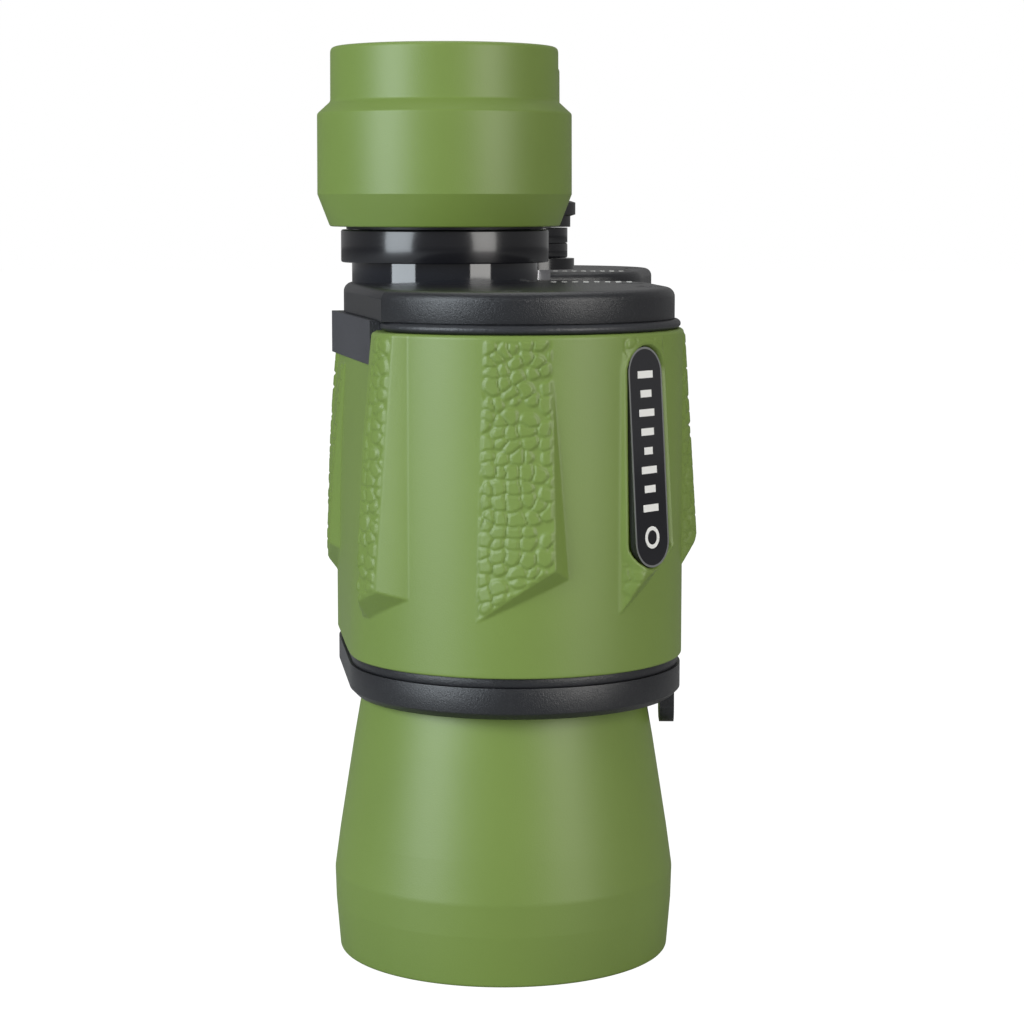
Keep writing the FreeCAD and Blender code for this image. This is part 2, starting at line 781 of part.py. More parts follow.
def screw_spots():
    """Three cover screws, each over a boss that grows out of the casting's wall."""
    inset = S.housing_wall + S.boss_radius - S.boss_overlap
    return [
        (LOBE[0] + S.objective_lobe - inset, LOBE[1]),
        (LOBE[0], LOBE[1] + S.objective_lobe - inset),
        (MIDDLE[0], MIDDLE[1] + S.prism_lobe - inset),
    ]


def screw_bosses():
    """Short bosses under the cover plate, drilled for the screws."""
    bosses = []
    foot = PLATE_FOOT - S.boss_height
    blind = foot + S.boss_floor
    for number, spot in enumerate(screw_spots()):
        bosses.append(turned("screw_boss_%d" % number, [
            (0, foot), (S.boss_radius, foot), (S.boss_radius, PLATE_FOOT),
            (S.screw_shank, PLATE_FOOT), (S.screw_shank, blind), (0, blind)], spot))
    return bosses


def cover_screws():
    """Countersunk screws whose heads lie just under the face of the plate."""
    screws = []
    foot = PLATE_FOOT - S.screw_reach
    seat = PLATE_TOP - S.screw_sink
    head = PLATE_TOP - S.seat_gap
    for number, spot in enumerate(screw_spots()):
        screws.append(turned("cover_screw_%d" % number, [
            (0, foot), (S.screw_shank, foot), (S.screw_shank, seat),
            (S.screw_head, seat), (S.screw_head, head), (0, head)], spot))
    fuse("right_cover_screws", screws)


# ---------------------------------------------------------------- prisms

def between(first, second):
    return ((first[0] + second[0]) / 2, (first[1] + second[1]) / 2)


def right_angle_prism(label, start, end, face, direction):
    """Glass prism whose long face spans two legs of the light path."""
    body = new_body(label)
    sketch = new_sketch(body, label + "_section", "XZ_Plane")
    half = S.prism_length / 2
    apex = face + half * direction
    corners = [(-half, face), (half, face), (Size(0), apex)]
    draw_polygon(sketch, corners if direction > 0 else corners[::-1])
    pad(body, sketch, S.prism_width, label + "_pad", both_ways=True)
    place(body, between(start, end), heading(end[1] - start[1], end[0] - start[0]))
    return body


def prism_clip(label, start, end, face, direction):
    """Spring strap over the apex of a prism, standing on the shelf."""
    body = new_body(label)
    sketch = new_sketch(body, label + "_section", "YZ_Plane")
    inner = S.prism_width / 2 + S.fit_gap
    outer = inner + S.clip_thickness
    under = face + (S.prism_length / 2 + S.fit_gap) * direction
    over = under + S.clip_thickness * direction
    points = [(-outer, face), (-inner, face), (-inner, under), (inner, under),
              (inner, face), (outer, face), (outer, over), (-outer, over)]
    draw_polygon(sketch, points if direction < 0 else points[::-1])
    pad(body, sketch, S.clip_width, label + "_pad", both_ways=True)
    place(body, between(start, end), heading(end[1] - start[1], end[0] - start[0]))
    return body


def prisms():
    """Two crossed right-angle prisms on either side of a drilled shelf."""
    right_angle_prism("right_objective_prism", OBJECTIVE, MIDDLE, SHELF_TOP, 1)
    right_angle_prism("right_eyepiece_prism", MIDDLE, EYEPIECE, S.shelf_level, -1)
    upper = prism_clip("upper_clip", OBJECTIVE, MIDDLE, SHELF_TOP, 1)
    lower = prism_clip("lower_clip", MIDDLE, EYEPIECE, S.shelf_level, -1)
    fuse("right_prism_clips", [upper, lower])
    inset = -S.housing_wall - S.fit_gap
    blank = outline_block("shelf_blank", inset, S.shelf_level, S.shelf_thickness)
    for name, centre in (("objective", OBJECTIVE), ("middle", MIDDLE), ("eyepiece", EYEPIECE)):
        bore(blank, centre, S.beam_hole, S.shelf_level, S.shelf_thickness, "beam_" + name)
    wedge = flank_wedge("shelf_flank", S.armour_skin + S.housing_wall + S.fit_gap,
                        ARMOUR_FOOT, PLATE_FOOT, S.flank_runout)
    cut("right_prism_shelf", blank, wedge)


# ---------------------------------------------------------------- oculars

def eyepiece_tube():
    foot = PLATE_FOOT + S.plate_height - S.tube_plunge
    outer = S.tube_radius
    inner = outer - S.tube_wall
    turned("right_eyepiece_tube", [
        (inner, foot), (outer, foot), (outer, BRIDGE_TOP), (inner, BRIDGE_TOP)], EYEPIECE)


def bridge_arm(side, foot):
    """Clamp ring around one ocular tube, a web, and half of the hub on the spindle."""
    label = "right_bridge_arm" if side > 0 else "left_bridge_arm"
    body = new_body(label)
    axis = (EYEPIECE[0] * side, EYEPIECE[1])
    ring = new_sketch(body, label + "_ring", "XY_Plane", BRIDGE_FOOT)
    draw_circle(ring, axis, S.bridge_ring)
    pad(body, ring, S.bridge_height, label + "_ring_pad")
    hub = new_sketch(body, label + "_hub", "XY_Plane", foot)
    draw_circle(hub, HINGE, S.bridge_hub)
    half_height = S.bridge_height / 2 - S.fit_gap
    pad(body, hub, half_height, label + "_hub_pad")
    web = new_sketch(body, label + "_web", "XY_Plane", foot)
    half = S.bridge_web / 2
    corners = [(HINGE[0], HINGE[1] - half), (axis[0], axis[1] - half),
               (axis[0], axis[1] + half), (HINGE[0], HINGE[1] + half)]
    draw_polygon(web, corners if side > 0 else corners[::-1])
    pad(body, web, half_height, label + "_web_pad")
    bore(body, axis, S.tube_radius + S.fit_gap, BRIDGE_FOOT, S.bridge_height, label + "_ring_bore")
    hole = S.spindle_radius if side > 0 else S.spindle_radius + S.fit_gap
    bore(body, HINGE, hole, BRIDGE_FOOT, S.bridge_height, label + "_hub_bore")
    return body


def ocular_housing():
    """Black ocular body on the bridge ring; the eyecup is pushed over it."""
    foot = BRIDGE_TOP + S.seat_gap
    top = foot + S.ocular_height
    lid = top - S.ocular_lid
    turned("right_ocular_housing", [
        (S.ocular_bore, foot), (S.ocular_radius, foot), (S.ocular_radius, top),
        (S.ocular_eye_stop, top), (S.ocular_eye_stop, lid), (S.ocular_bore, lid)], EYEPIECE)


def eyecup():
    """Rubber eyecup: bevelled foot, wide grip band, shoulder and narrower soft lip."""
    inner = S.ocular_radius + S.seat_gap
    bevel = CUP_FOOT + S.cup_bevel_height
    band = CUP_FOOT + S.cup_body_height
    shoulder = band + S.cup_shoulder_height
    turned("right_eyecup", [
        (inner, CUP_FOOT), (S.cup_foot, CUP_FOOT), (S.cup_body, bevel), (S.cup_body, band),
        (S.cup_rim, shoulder), (S.cup_rim, CUP_TOP), (S.cup_rim - S.cup_wall, CUP_TOP),
        (inner, BRIDGE_TOP + S.ocular_height)], EYEPIECE)


def lens_cell():
    """Cell that carries the eye lens and field lens inside the ocular."""
    foot = BRIDGE_TOP + S.ocular_height - S.ocular_lid - S.cell_height - S.cell_travel
    top = foot + S.cell_height
    outer = S.ocular_bore - S.fit_gap
    inner = outer - S.cell_wall
    middle = foot + S.cell_height / 2
    over = middle + S.cell_wall / 2
    under = middle - S.cell_wall / 2
    step = inner - S.cell_wall
    turned("right_lens_cell", [
        (inner, foot), (outer, foot), (outer, top), (inner, top),
        (inner, over), (step, over), (step, under), (inner, under)], EYEPIECE)
    glass = inner - S.fit_gap
    lens("right_eye_lens", EYEPIECE, glass, (over, top), (S.eye_inner_bulge, S.eye_outer_bulge))
    lens("right_field_lens", EYEPIECE, glass, (foot, under), (S.eye_outer_bulge, S.eye_inner_bulge))


# ---------------------------------------------------------------- hinge and focusing

def hinge_top():
    return lug_level(1, True) + S.lug_height


def hinge():
    """Hinge tube pinned in the right lugs, friction washers and the front socket."""
    neck = hinge_top() + S.hinge_rise
    groove = hinge_top() + S.clip_level
    groove_top = groove + S.groove_width
    groove_radius = S.hinge_tube_radius - S.groove_depth
    turned("hinge_tube", [
        (S.hinge_bore, S.hinge_foot), (S.hinge_tube_radius, S.hinge_foot),
        (S.hinge_tube_radius, groove), (groove_radius, groove),
        (groove_radius, groove_top), (S.hinge_tube_radius, groove_top),
        (S.hinge_tube_radius, neck), (S.hinge_bore, neck)], HINGE)
    washers = []
    washer_hole = S.hinge_tube_radius + S.fit_gap
    for pair in (0, 1):
        foot = lug_level(pair, False) + S.lug_height
        washers.append(turned("washer_%d" % pair, [
            (washer_hole, foot), (S.hinge_hub, foot),
            (S.hinge_hub, foot + S.washer_thickness),
            (washer_hole, foot + S.washer_thickness)], HINGE))
    fuse("hinge_washers", washers)
    tripod_socket()


def tripod_socket():
    """Threaded socket with a flange under the lowest lug and a plug in the hinge tube."""
    face = S.hinge_foot - S.flange_height
    seat = S.hinge_foot - S.fit_gap
    plug = S.hinge_bore - S.fit_gap
    blind = face + S.socket_depth
    turned("tripod_socket", [
        (S.socket_radius, face), (S.flange_radius, face), (S.flange_radius, seat),
        (plug, seat), (plug, blind + S.socket_floor), (0, blind + S.socket_floor),
        (0, blind), (S.socket_radius, blind)], HINGE)


def focus_wheel():
    """Wheel core threaded on the spindle, its knurled rubber grip and the circlip."""
    foot = hinge_top() + S.wheel_clearance
    top = foot + S.wheel_height
    running = S.hinge_tube_radius + S.fit_gap
    threaded = S.spindle_radius + S.fit_gap
    roof = hinge_top() + S.hinge_rise + S.free_gap
    pocket = S.hinge_tube_radius + S.clip_pocket
    play = S.free_gap / 2
    groove = hinge_top() + S.clip_level
    groove_top = groove + S.groove_width
    turned("focus_wheel_core", [
        (running, foot), (S.wheel_core, foot), (S.wheel_core, top), (S.wheel_neck, top),
        (S.wheel_neck, S.wheel_neck_top), (threaded, S.wheel_neck_top),
        (threaded, roof), (running, roof), (running, groove_top + play),
        (pocket, groove_top + play), (pocket, groove - play), (running, groove - play)], HINGE)
    clip_hole = S.hinge_tube_radius - S.groove_depth + S.fit_gap
    clip_rim = pocket - S.free_gap
    turned("wheel_circlip", [
        (clip_hole, groove + play), (clip_rim, groove + play),
        (clip_rim, groove_top - play), (clip_hole, groove_top - play)], HINGE)
    grip_hole = S.wheel_core + S.fit_gap
    grip = turned("focus_wheel_grip", [
        (grip_hole, foot), (S.wheel_radius, foot), (S.wheel_radius, top), (grip_hole, top)], HINGE)
    knurl(grip, foot)


def knurl(grip, foot):
    """Straight grooves all round the grip."""
    sketch = new_sketch(grip, "knurl_sketch", "XY_Plane", foot)
    draw_circle(sketch, (S.wheel_radius + S.free_gap, Size(0)), S.knurl_radius)
    groove = pocket_up(grip, sketch, S.wheel_height, "knurl_groove")
    doc.recompute()
    pattern = grip.newObject("PartDesign::PolarPattern", "knurl_pattern")
    pattern.Originals = [groove]
    pattern.Axis = (sketch, ["N_Axis"])
    pattern.Angle = 360
    bind(pattern, "Occurrences", S.knurl_count)
    grip.Tip = pattern


def carriage():
    """Sliding spindle with its stop collar and the round cap above the bridge hub."""
    stub = BRIDGE_TOP + S.spindle_stub
    turned("focus_spindle", [
        (0, S.spindle_foot), (S.spindle_radius, S.spindle_foot),
        (S.spindle_radius, stub), (0, stub)], HINGE)
    collar_top = BRIDGE_FOOT - S.seat_gap
    collar_foot = collar_top - S.collar_height
    turned("spindle_collar", [
        (S.spindle_radius, collar_foot), (S.collar_radius, collar_foot),
        (S.collar_radius, collar_top), (S.spindle_radius, collar_top)], HINGE)
    neck = BRIDGE_TOP + S.seat_gap
    head = neck + S.cap_foot
    crown = head + S.cap_crown
    hole = S.spindle_radius + S.fit_gap
    turned("spindle_cap", [
        (hole, neck), (S.cap_neck, neck), (S.cap_neck, head), (S.cap_radius, head + S.free_gap),
        (S.cap_radius, crown - S.free_gap), (S.cap_neck, crown), (0, crown),
        (0, stub), (hole, stub)], HINGE)


# ---------------------------------------------------------------- the whole object

TWINS = [
    "armour", "badge", "front_ring", "front_trim", "hood", "objective_tube", "lens_retaining_ring",
    "objective_lens", "cover_bead", "cover_plate", "cover_screws", "objective_prism",
    "eyepiece_prism", "prism_clips", "prism_shelf", "eyepiece_tube", "ocular_housing", "eyecup",
    "lens_cell", "eye_lens", "field_lens",
]
SINGLES = [
    "hinge_tube", "hinge_washers", "tripod_socket", "focus_wheel_core", "wheel_circlip",
    "focus_wheel_grip", "focus_spindle", "spindle_collar", "spindle_cap",
    "right_prism_housing", "left_prism_housing", "right_bridge_arm", "left_bridge_arm",
]


def build():
    prism_housing()
    armour()
    badge()
    front_ring()
    front_trim()
    hood()
    objective()
    cover_bead()
    cover_plate()
    cover_screws()
    prisms()
    eyepiece_tube()
    bridge_arm(1, BRIDGE_FOOT)
    bridge_arm(-1, BRIDGE_FOOT + S.bridge_height / 2)
    ocular_housing()
    eyecup()
    lens_cell()
    hinge()
    focus_wheel()
    carriage()
    doc.recompute()
    for name in TWINS:
        mirrored("left_" + name, doc.getObjectsByLabel("right_" + name)[0])
    doc.recompute()


def export():
    """Refuses a failed object, then writes one STEP file for each piece."""
    for thing in doc.Objects:
        if "Invalid" in thing.State or "Error" in thing.State:
            raise RuntimeError("%s failed: %s" % (thing.Label, thing.State))
    names = SINGLES + ["right_" + name for name in TWINS] + ["left_" + name for name in TWINS]
    pieces = [doc.getObjectsByLabel(name)[0] for name in names]
    for piece in pieces:
        if piece.Shape.isNull() or not piece.Shape.isValid():
            raise RuntimeError("%s has no valid shape" % piece.Label)
    os.makedirs("parts", exist_ok=True)
    for piece in pieces:
        piece.Shape.exportStep("parts/%s.step" % piece.Label)
    print("wrote %d pieces" % len(pieces))


build()
export()
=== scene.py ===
import math
import bmesh
import bpy
import numpy as np
from mathutils import Matrix, Vector


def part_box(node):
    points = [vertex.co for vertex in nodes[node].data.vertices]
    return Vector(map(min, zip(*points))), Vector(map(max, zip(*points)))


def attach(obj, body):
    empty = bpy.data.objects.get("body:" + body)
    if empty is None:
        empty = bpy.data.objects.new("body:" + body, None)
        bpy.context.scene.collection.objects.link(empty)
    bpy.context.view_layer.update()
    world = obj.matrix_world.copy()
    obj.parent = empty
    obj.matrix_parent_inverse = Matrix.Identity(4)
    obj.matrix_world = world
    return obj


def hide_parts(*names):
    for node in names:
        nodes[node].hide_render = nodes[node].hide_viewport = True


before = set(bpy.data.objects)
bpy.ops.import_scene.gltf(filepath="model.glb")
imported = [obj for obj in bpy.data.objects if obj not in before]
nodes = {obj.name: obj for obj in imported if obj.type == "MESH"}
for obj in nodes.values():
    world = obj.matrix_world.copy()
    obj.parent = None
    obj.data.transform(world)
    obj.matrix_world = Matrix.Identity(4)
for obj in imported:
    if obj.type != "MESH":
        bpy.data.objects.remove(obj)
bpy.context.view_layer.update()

MM = 0.001


# --- Stand-in studio: viewpoint, pale table and three soft boxes ----------------------------
# The binocular stands on its hoods and is seen square on from its right side. The camera is
# 119 mm above the table and tipped down by about 7 degrees; two tall soft boxes stand in front.
def middle_of(node):
    low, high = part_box(node)
    return (Vector(low) + Vector(high)) / 2


objective_axis = middle_of("right_hood")
eyepiece_axis = middle_of("right_eyecup")
hinge_axis = middle_of("hinge_tube")

camera_turn = math.radians(1.2)
camera_pitch = math.radians(6.8)
camera_lens = 91.9
camera_distance = 413.1 * MM
camera_aside = 1.37 * MM
camera_height = 119.2 * MM
towards = Vector((math.cos(camera_turn), math.sin(camera_turn), 0))
aside = Vector((-math.sin(camera_turn), math.cos(camera_turn), 0))
camera_data = bpy.data.cameras.new("camera")
camera_data.lens = camera_lens
camera = bpy.data.objects.new("camera", camera_data)
bpy.context.scene.collection.objects.link(camera)
camera.location = objective_axis
camera.location.z = camera_height
camera.location += towards * camera_distance + aside * camera_aside
sight = -towards * math.cos(camera_pitch) - Vector((0, 0, math.sin(camera_pitch)))
camera.rotation_mode = "QUATERNION"
camera.rotation_quaternion = sight.to_track_quat("-Z", "Y")
bpy.context.scene.camera = camera
bpy.context.scene.view_settings.view_transform = "Standard"


light_aim = Vector((0.03, 0, 0.075))


def soft_box(name, turn, distance, width, height, level, power, colour):
    """A panel of light, turned round the object from the camera and aimed at its middle."""
    data = bpy.data.lights.new(name, "AREA")
    data.shape = "RECTANGLE"
    data.size = width
    data.size_y = height
    data.energy = power
    data.color = colour
    lamp = bpy.data.objects.new(name, data)
    bpy.context.scene.collection.objects.link(lamp)
    angle = camera_turn + math.radians(turn)
    lamp.location = light_aim + Vector((math.cos(angle), math.sin(angle), 0)) * distance
    lamp.location.z = level
    lamp.rotation_mode = "QUATERNION"
    lamp.rotation_quaternion = (light_aim - lamp.location).to_track_quat("-Z", "Y")


soft_box("left_soft_box", -51, 0.75, 0.44, 0.80, 0.26, 7.8, (0.86, 0.94, 1.0))
soft_box("right_soft_box", 45, 0.85, 0.42, 0.80, 0.26, 5.2, (1.0, 0.985, 0.95))
soft_box("top_soft_box", 180, 0.25, 0.60, 0.60, 0.80, 1.6, (1.0, 1.0, 1.0))

world = bpy.data.worlds.new("studio")
bpy.context.scene.world = world
world.use_nodes = True
tree = world.node_tree
tree.nodes.clear()
plain = tree.nodes.new("ShaderNodeBackground")
white = tree.nodes.new("ShaderNodeBackground")
for backdrop, strength in ((plain, 0.26), (white, 1.0)):
    backdrop.inputs["Color"].default_value = (1, 1, 1, 1)
    backdrop.inputs["Strength"].default_value = strength
path = tree.nodes.new("ShaderNodeLightPath")
blend = tree.nodes.new("ShaderNodeMixShader")
output = tree.nodes.new("ShaderNodeOutputWorld")
tree.links.new(path.outputs["Is Camera Ray"], blend.inputs[0])
tree.links.new(plain.outputs[0], blend.inputs[1])
tree.links.new(white.outputs[0], blend.inputs[2])
tree.links.new(blend.outputs[0], output.inputs[0])

bpy.ops.mesh.primitive_circle_add(vertices=96, radius=4.0, fill_type="NGON", location=(0, 0, 0))
table = bpy.context.object
table.name = "pale_table"
pale = bpy.data.materials.new("pale_table")
pale.use_nodes = True
tree = pale.node_tree
paint = tree.nodes["Principled BSDF"]
paint.inputs["Base Color"].default_value = (0.38, 0.38, 0.38, 1)
paint.inputs["Roughness"].default_value = 0.9
glow = tree.nodes.new("ShaderNodeEmission")
glow.inputs["Strength"].default_value = 1.4
path = tree.nodes.new("ShaderNodeLightPath")
washed = tree.nodes.new("ShaderNodeMath")
washed.operation = "MULTIPLY"
washed.inputs[1].default_value = 0.72
blend = tree.nodes.new("ShaderNodeMixShader")
tree.links.new(path.outputs["Is Camera Ray"], washed.inputs[0])
tree.links.new(washed.outputs[0], blend.inputs[0])
tree.links.new(paint.outputs[0], blend.inputs[1])
tree.links.new(glow.outputs[0], blend.inputs[2])
tree.links.new(blend.outputs[0], tree.nodes["Material Output"].inputs[0])
table.data.materials.append(pale)


# --- Rubber armour of the two barrels -------------------------------------------------------
# A green rubber skin, about 2 mm thick, moulded and glued round each prism casting. Wedge-shaped
# ribs with a pebbled face rise from it towards their lower ends and are cut off at a slant.
def grain_group():
    """Fine moulding grain: a height for the bump and a slow drift of roughness and shade."""
    group = bpy.data.node_groups.new("moulding_grain", "ShaderNodeTree")
    group.interface.new_socket("Vector", in_out="INPUT", socket_type="NodeSocketVector")
    group.interface.new_socket("Grains per Metre", in_out="INPUT", socket_type="NodeSocketFloat")
    group.interface.new_socket("Roughness", in_out="INPUT", socket_type="NodeSocketFloat")
    group.interface.new_socket("Drift", in_out="INPUT", socket_type="NodeSocketFloat")
    group.interface.new_socket("Height", in_out="OUTPUT", socket_type="NodeSocketFloat")
    group.interface.new_socket("Roughness", in_out="OUTPUT", socket_type="NodeSocketFloat")
    group.interface.new_socket("Shade", in_out="OUTPUT", socket_type="NodeSocketFloat")
    new, link = group.nodes.new, group.links.new
    entry = new("NodeGroupInput")
    leave = new("NodeGroupOutput")
    grain = new("ShaderNodeTexNoise")
    grain.inputs["Detail"].default_value = 3.0
    grain.inputs["Roughness"].default_value = 0.65
    link(entry.outputs["Vector"], grain.inputs["Vector"])
    link(entry.outputs["Grains per Metre"], grain.inputs["Scale"])
    drift = new("ShaderNodeTexNoise")
    drift.inputs["Scale"].default_value = 45.0
    drift.inputs["Detail"].default_value = 4.0
    link(entry.outputs["Vector"], drift.inputs["Vector"])
    centred = new("ShaderNodeMath")
    centred.operation = "SUBTRACT"
    centred.inputs[1].default_value = 0.5
    link(drift.outputs["Fac"], centred.inputs[0])
    scaled = new("ShaderNodeMath")
    scaled.operation = "MULTIPLY"
    link(centred.outputs[0], scaled.inputs[0])
    link(entry.outputs["Drift"], scaled.inputs[1])
    rough = new("ShaderNodeMath")
    rough.operation = "ADD"
    link(entry.outputs["Roughness"], rough.inputs[0])
    link(scaled.outputs[0], rough.inputs[1])
    link(grain.outputs["Fac"], leave.inputs["Height"])
    link(rough.outputs[0], leave.inputs["Roughness"])
    link(drift.outputs["Fac"], leave.inputs["Shade"])
    return group


moulding_grain = grain_group()


def finish(name, colour, roughness, grains=2500.0, depth=0.01, drift=0.1, shade=0.06,
           metallic=0.0, coat=0.0, specular=0.5):
    """A painted, moulded or turned surface with its own grain, roughness and faint mottling."""
    material = bpy.data.materials.new(name)
    material.use_nodes = True
    new, link = material.node_tree.nodes.new, material.node_tree.links.new
    shader = material.node_tree.nodes["Principled BSDF"]
    shader.inputs["Metallic"].default_value = metallic
    shader.inputs["Coat Weight"].default_value = coat
    shader.inputs["Coat Roughness"].default_value = 0.06
    shader.inputs["Specular IOR Level"].default_value = specular
    place = new("ShaderNodeTexCoord")
    grain = new("ShaderNodeGroup")
    grain.node_tree = moulding_grain
    grain.inputs["Grains per Metre"].default_value = grains
    grain.inputs["Roughness"].default_value = roughness
    grain.inputs["Drift"].default_value = drift
    link(place.outputs["Object"], grain.inputs["Vector"])
    ramp = new("ShaderNodeValToRGB")
    dark = [part * (1 - shade) for part in colour]
    light = [min(1.0, part * (1 + shade)) for part in colour]
    ramp.color_ramp.elements[0].position = 0.3
    ramp.color_ramp.elements[0].color = (*dark, 1)
    ramp.color_ramp.elements[1].position = 0.7
    ramp.color_ramp.elements[1].color = (*light, 1)
    link(grain.outputs["Shade"], ramp.inputs["Fac"])
    link(ramp.outputs["Color"], shader.inputs["Base Color"])
    link(grain.outputs["Roughness"], shader.inputs["Roughness"])
    bump = new("ShaderNodeBump")
    bump.inputs["Strength"].default_value = 1.0
    bump.inputs["Distance"].default_value = depth * MM
    link(grain.outputs["Height"], bump.inputs["Height"])
    link(bump.outputs["Normal"], shader.inputs["Normal"])
    return material


GREEN = (0.150, 0.222, 0.042)
green_rubber = finish("green_rubber", GREEN, 0.44, grains=3800.0, depth=0.02, drift=0.06,
                      shade=0.03, specular=0.55)

armour_low, armour_high = [np.array(corner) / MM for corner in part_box("right_armour")]
casting_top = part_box("right_cover_plate")[0][2] / MM
foot, top = armour_low[2], armour_high[2]
objective = np.array([objective_axis.x, objective_axis.y]) / MM
eyepiece = np.array([eyepiece_axis.x, eyepiece_axis.y]) / MM
hinge = np.array([hinge_axis.x, hinge_axis.y]) / MM
LOBE_SHIFT = 1.8
lobe = objective + [0.0, LOBE_SHIFT]
bend = np.array([objective[0] + eyepiece[0] + eyepiece[1] - objective[1],
                 objective[1] + eyepiece[1] + objective[0] - eyepiece[0]]) / 2
SKIN = 1.8
OBJECTIVE_LOBE, BEND_LOBE, EYEPIECE_LOBE = 24.8, 17.0, 16.5
LOBES = [(lobe, OBJECTIVE_LOBE + SKIN), (bend, BEND_LOBE + SKIN), (eyepiece, EYEPIECE_LOBE + SKIN)]
FLANK_POINT = np.array([77.9, -16.7])
FLANK_TURN = math.radians(13.8)
FLANK_OUT = np.array([math.sin(FLANK_TURN), -math.cos(FLANK_TURN)])
FLANK_ALONG = np.array([math.cos(FLANK_TURN), math.sin(FLANK_TURN)])
FLANK_RUNOUT = 4.5
FAR_AWAY = 400.0
HEART = np.array([50.0, 0.0])


def band(circles, growth=0.0, steps=360):
    """Points of a tight band round circles that are listed anticlockwise."""
    points = []
    count = len(circles)
    normals = []
    for index in range(count):
        (first, one), (second, two) = circles[index], circles[(index + 1) % count]
        along = second - first
        lean = math.asin((one - two) / math.hypot(*along))
        normals.append(math.atan2(along[1], along[0]) - math.pi / 2 + lean)
    for index in range(count):
        start, stop = normals[index - 1], normals[index]
        while stop < start:
            stop += 2 * math.pi
        centre, radius = circles[index]
        for angle in np.linspace(start, stop, steps):
            out = np.array([math.cos(angle), math.sin(angle)])
            points.append(centre + out * (radius + growth))
        following, size = circles[(index + 1) % count]
        begin, end = points[-1], following + out * (size + growth)
        points.extend(begin + (end - begin) * share for share in np.linspace(0, 1, steps)[1:-1])
    return np.array(points)


def reach_of(outline, angles):
    """Distance from the heart of the outline to its edge, at each angle."""
    seen = outline - HEART
    turn = np.unwrap(np.arctan2(seen[:, 1], seen[:, 0]))
    far = np.hypot(seen[:, 0], seen[:, 1])
    order = np.argsort(turn % (2 * math.pi))
    return np.interp(angles % (2 * math.pi), (turn % (2 * math.pi))[order], far[order],
                     period=2 * math.pi)


def soft_min(first, second, width):
    """The smaller of two distances, with the corner between them rounded."""
    overlap = np.maximum(width - np.abs(first - second), 0) / width
    return np.minimum(first, second) - overlap ** 2 * width / 4


def skin_points(angles, heights, growth=0.0, corner=2.0):
    """Plain armour surface: three lobes, cut by the flank that leans out towards the foot."""
    edge = reach_of(band(LOBES, growth), angles)
    ray = np.stack([np.cos(angles), np.sin(angles)], axis=1)
    facing = ray @ FLANK_OUT
    start = (FLANK_POINT - HEART) @ FLANK_OUT + growth
    lean = FLANK_RUNOUT * (casting_top - heights) / (casting_top - foot)
    with np.errstate(divide="ignore"):
        flat = (start + lean[:, None]) / np.where(facing > 0.05, facing, 1e-6)[None, :]
    reach = soft_min(np.broadcast_to(edge, flat.shape), np.minimum(flat, FAR_AWAY), corner)
    return HEART + reach[:, :, None] * ray[None, :, :]


def angle_at(centre, degrees):
    """Angle seen from the heart of the point that lies at some angle round a lobe."""
    out = np.array([math.cos(math.radians(degrees)), math.sin(math.radians(degrees))])
    radius = next(size for place, size in LOBES if place is centre)
    seen = centre + out * radius - HEART
    return math.atan2(seen[1], seen[0]) % (2 * math.pi)


# girth: distance round the skin at mid height, from the point that faces +X
MID_HEIGHT = 75.0
fine_angles = np.linspace(0, 2 * math.pi, 7200, endpoint=False)
mid_skin = skin_points(fine_angles, np.array([MID_HEIGHT]))[0]
steps_round = np.hypot(*(np.roll(mid_skin, -1, axis=0) - mid_skin).T)
fine_girth = np.concatenate([[0], np.cumsum(steps_round)])
GIRTH = fine_girth[-1]


def girth_at(centre, degrees):
    angle = angle_at(centre, degrees)
    return float(np.interp(angle, np.append(fine_angles, 2 * math.pi), fine_girth))


def wrapped(distance):
    """A distance round the skin, taken the shorter way."""
    return (distance + GIRTH / 2) % GIRTH - GIRTH / 2


# each rib: girth of its soft edge and of its crest and how far it stands out, then the heights
# where it starts to rise and where its slanted foot meets the soft edge (tip) and crest (heel);
# steep is the slope of its far side, lean the drift of its soft edge from the top to the foot,
# top the upper end of its pebbles; a flat rib is level across, and the others are wedges
RIBS = [
    dict(soft=girth_at(lobe, -9), crest=girth_at(lobe, 13.5), rise=2.25, start=93.0, tip=56.2,
         heel=61.6, steep=0.88, flat=False, top=98.6, lean=1.4),
    dict(soft=girth_at(lobe, 38.5), crest=girth_at(lobe, 59), rise=2.3, start=99.3, tip=56.9,
         heel=63.8, steep=1.1, flat=True, top=98.6, lean=0.0),
    dict(soft=girth_at(lobe, 82), crest=girth_at(lobe, 104), rise=2.2, start=99.3, tip=62.0,
         heel=65.0, steep=1.1, flat=True, top=98.6, lean=0.0),
]
# corner ribs are level across: back is about their width and pebbled the part with pebbles; one
# with a low top ends there, and the others run up to the rim
CORNER_RIBS = [
    dict(crest=girth_at(lobe, -36), back=9.5, rise=2.2, start=130.0, tip=57.0, heel=61.0,
         steep=0.47, top=98.6, pebbled=5.2),
    dict(crest=girth_at(eyepiece, -55), back=8.0, rise=1.6, start=97.0, tip=59.5, heel=64.0,
         steep=0.6, top=92.6, pebbled=4.0),
    dict(crest=girth_at(eyepiece, -84), back=9.0, rise=1.7, start=98.0, tip=63.5, heel=66.0,
         steep=0.7, top=98.6, pebbled=5.0),
]
RIB_FOOT_SLANT, CORNER_FOOT_SLANT = 0.72, 0.75
SHORT_RIB_TOP = 95.0
BADGE_TURN = 49.5
BADGE_FOOT, BADGE_TOP = 63.7, 97.2
BADGE_WIDTH = 8.0


def fade(value, start, stop):
    """0 before start and 1 after stop, with a smooth rise between them."""
    share = np.clip((value - start) / (stop - start), 0, 1)
    return share * share * (3 - 2 * share)


